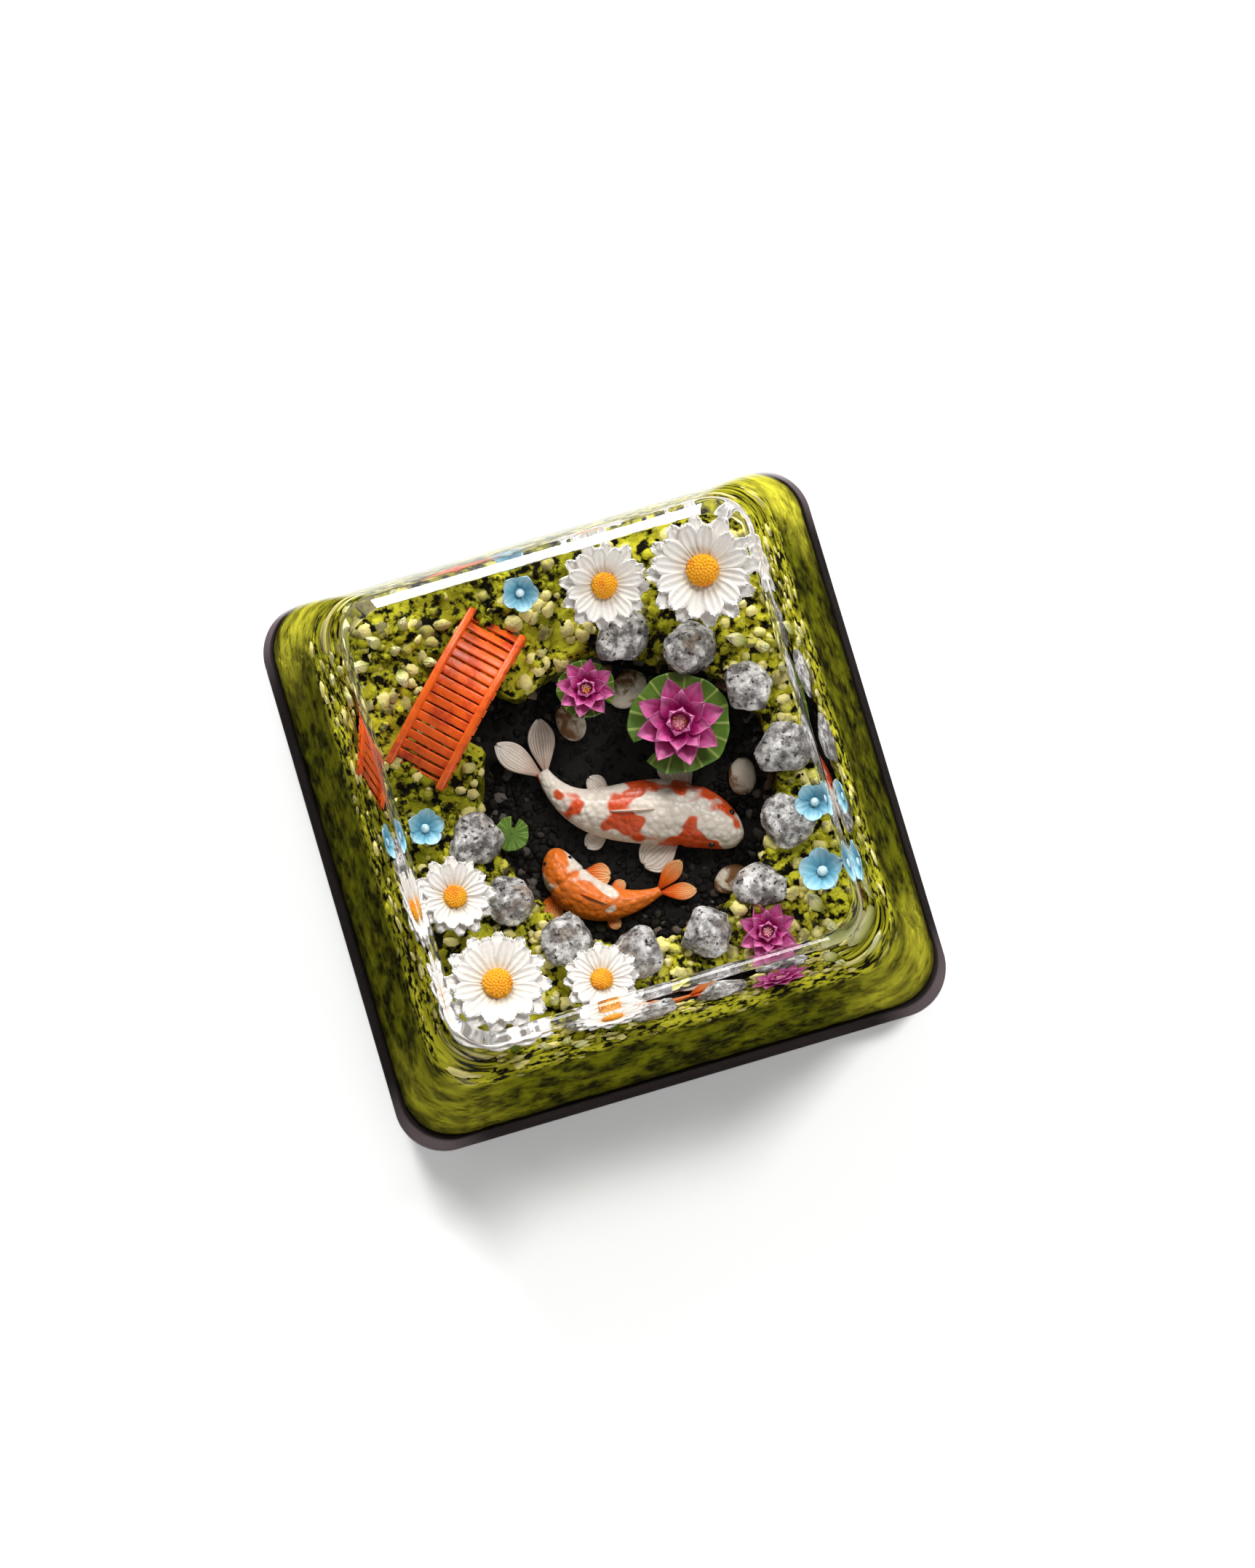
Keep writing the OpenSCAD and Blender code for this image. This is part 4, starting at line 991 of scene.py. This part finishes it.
# Each blossom: its spot on the bank, its size, height, tilt and turn
blossoms = {"radius": 0.78, "petals": 5, "seed": 120,
            "list": [(0.88, -0.69, 1.0, 1.2, 14, 150), (0.94, -0.38, 0.86, 0.95, 12, 180),
                     (-0.87, 0.0, 0.84, 0.8, 10, 0), (-0.12, 0.9, 0.84, 0.8, 12, 270)]}
blossomSkin = petalFinish("blossomPetal", tone(54, 112, 140), tone(112, 176, 200), tone(190, 224, 234), 0.3)
blossomEye = enamelFinish("blossomEye", tone(224, 240, 244), tone(150, 196, 214), (0.5, 0.7), 4.0, 0.3)
for k, (x, y, share, height, tilt, turn) in enumerate(blossoms["list"]):
    r = blossoms["radius"] * share
    rng = np.random.default_rng(blossoms["seed"] + k)
    head = headAt(x, y, height, tilt, turn)
    leaf = petal(r * 0.92, r * 0.44, 0.1, cup=0.16 * r, curl=0.2 * r, front=1.35, blunt=0.5, rows=16, around=22)
    parts = [petalRing(head, rng, leaf, blossoms["petals"], 0, 0.08 * r, 0.05, 18),
             onHead(head, lump(8, 16, (0.26 * r, 0.26 * r, 0.1), 0.0), upright, [0, 0, 0.08], 0.2)]
    makePiece(f"blossom_flower_{k + 1}", [(join(parts), blossomSkin), (stalk(x, y, height, 0.13), stalkSkin)],
              [f"blossom_{k + 1}"])
    button = lump(10, 20, (0.2 * r, 0.2 * r, 0.17 * r), 0.06, 0.7, k)
    makePiece(f"blossom_middle_{k + 1}", [(onHead(head, button, upright, [0, 0, 0.19], 0.5), blossomEye)],
              [f"blossom_eye_{k + 1}"])
print("blossoms made")

# Each sprig: its spot on the bank, how many leaves, and its turn. The leaves stand in a spiral, a golden angle on
# from each other and out by the square root of their number.
sprigs = {"leaf": 0.38, "list": [(-0.78, 0.81, 6, 0), (0.93, 0.37, 4, 240), (0.86, -0.92, 3, 200),
                                 (-0.52, -0.9, 3, 30)]}
sprigSkin = petalFinish("sprigLeaf", tone(116, 126, 44), tone(196, 196, 118), tone(228, 222, 168), 0.45)
leaf = petal(1.0, 0.19, 0.3, cup=0.03, rows=16, around=20)
for k, (x, y, count, turn) in enumerate(sprigs["list"]):
    n = np.arange(count)
    angle = n * goldenAngle + turn
    lean = 12 + 6 * (n % 3)
    tall = 0.7 + 0.14 * ((n * 2) % 5)
    matrices = turnZ(angle) @ turnY(lean - 90) * tall[:, None, None] ** 0.5
    spots = polar(1.2 * sprigs["leaf"] * np.sqrt(n), angle, 0.0) + onBank(x, y, -0.02)
    makePiece(f"leaf_sprig_{k + 1}", [(copies(leaf, matrices, spots, (n * 0.37) % 1), sprigSkin)],
              [f"sprig_{k + 1}"])
print("sprigs made")

# Floor, lamps and camera, in metres. Each lamp: its name, place, width, height and watts.
studio = {"world": 0.24, "floor": tone(236, 236, 236), "floorSeen": (1.3, 1.3, 1.3, 1), "floorHalf": 3,
          "floorLevel": -0.00002, "card": (0.0, 0.05, 0.5), "cardHalf": 0.12, "lampsAim": (0, 0, 0.006),
          "lamps": [("backBox", (0.012, 0.37, 0.16), 0.11, 0.28, 2.1),
                    ("keyBox", (0.20, 0.16, 0.30), 0.09, 0.09, 0.9),
                    ("fillBox", (-0.10, -0.30, 0.26), 0.12, 0.12, 0.12),
                    ("frontBox", (-0.01, -0.36, 0.095), 0.12, 0.10, 0.44)]}


# A level square sheet, its front turned up or down
def addSheet(name, middle, half, finish, up):
    x, y, z = middle
    mesh = bpy.data.meshes.new(name)
    mesh.from_pydata([(x - half, y - half, z), (x + half, y - half, z), (x + half, y + half, z),
                      (x - half, y + half, z)], [], [(0, 1, 2, 3) if up else (3, 2, 1, 0)])
    mesh.materials.append(finish)
    return addObject(name, mesh)


paper = Finish("paper", Roughness=0.9)
paperShade = paper.feed(Base_Color=paper.mix(paper.looking(), studio["floor"], studio["floorSeen"]))
floor = addSheet("floor", (0, 0, studio["floorLevel"]), studio["floorHalf"], paperShade, True)

# A dark card above the camera, so that the flat top mirrors nothing bright
felt = Finish("felt", Roughness=1.0)
feltShade = felt.feed(Base_Color=felt.mix(felt.noise(0.02, 2), tone(10, 10, 10), tone(16, 16, 16)))
card = addSheet("dark_card", studio["card"], studio["cardHalf"], feltShade, False)

# The world is white to look at, and dimmer as a light
world = bpy.data.worlds.new("studio")
bpy.context.scene.world = world
world.use_nodes = True
sky = Graph(world.node_tree)
dim, shown = (sky.node("ShaderNodeBackground", {}, {"Color": (1, 1, 1, 1), "Strength": strength})
              for strength in (studio["world"], 1.0))
sky.node("ShaderNodeOutputWorld", {}, {"Surface": sky.shaders(sky.looking(), dim, shown)})


# Moves a lamp or the camera to a place and turns its -Z to a target, with its up in the upright plane, then rolls it
def aim(obj, place, target, roll=0.0):
    back = np.array(place, float) - np.array(target, float)
    back /= np.linalg.norm(back)
    right = np.cross([0, 0, 1.0], back)
    right /= np.linalg.norm(right)
    up = np.cross(back, right)
    c, s = math.cos(math.radians(roll)), math.sin(math.radians(roll))
    x, y = c * right + s * up, -s * right + c * up
    obj.matrix_world = Matrix([[x[i], y[i], back[i], place[i]] for i in range(3)] + [[0, 0, 0, 1]])


for name, place, wide, high, watts in studio["lamps"]:
    lamp = bpy.data.lights.new(name, "AREA")
    lamp.shape, lamp.size, lamp.size_y, lamp.energy = "RECTANGLE", wide, high, watts
    aim(addObject(name, lamp), place, studio["lampsAim"])

view = {"distance": 0.2001, "azimuth": -13.63, "elevation": 83.64, "roll": -2.83, "lens": 149.2,
        "target": (0.00080, -0.00008, 0.006)}
a, e = math.radians(view["azimuth"]), math.radians(view["elevation"])
away = np.array([math.sin(a) * math.cos(e), -math.cos(a) * math.cos(e), math.sin(e)])
camera = addObject("camera", bpy.data.cameras.new("camera"))
camera.data.lens, camera.data.sensor_width = view["lens"], 36.0
camera.data.clip_start, camera.data.clip_end = 0.01, 20
aim(camera, np.array(view["target"]) + away * view["distance"], view["target"], view["roll"])
bpy.context.scene.camera = camera
bpy.context.scene.view_settings.view_transform = "Standard"
print("studio made")
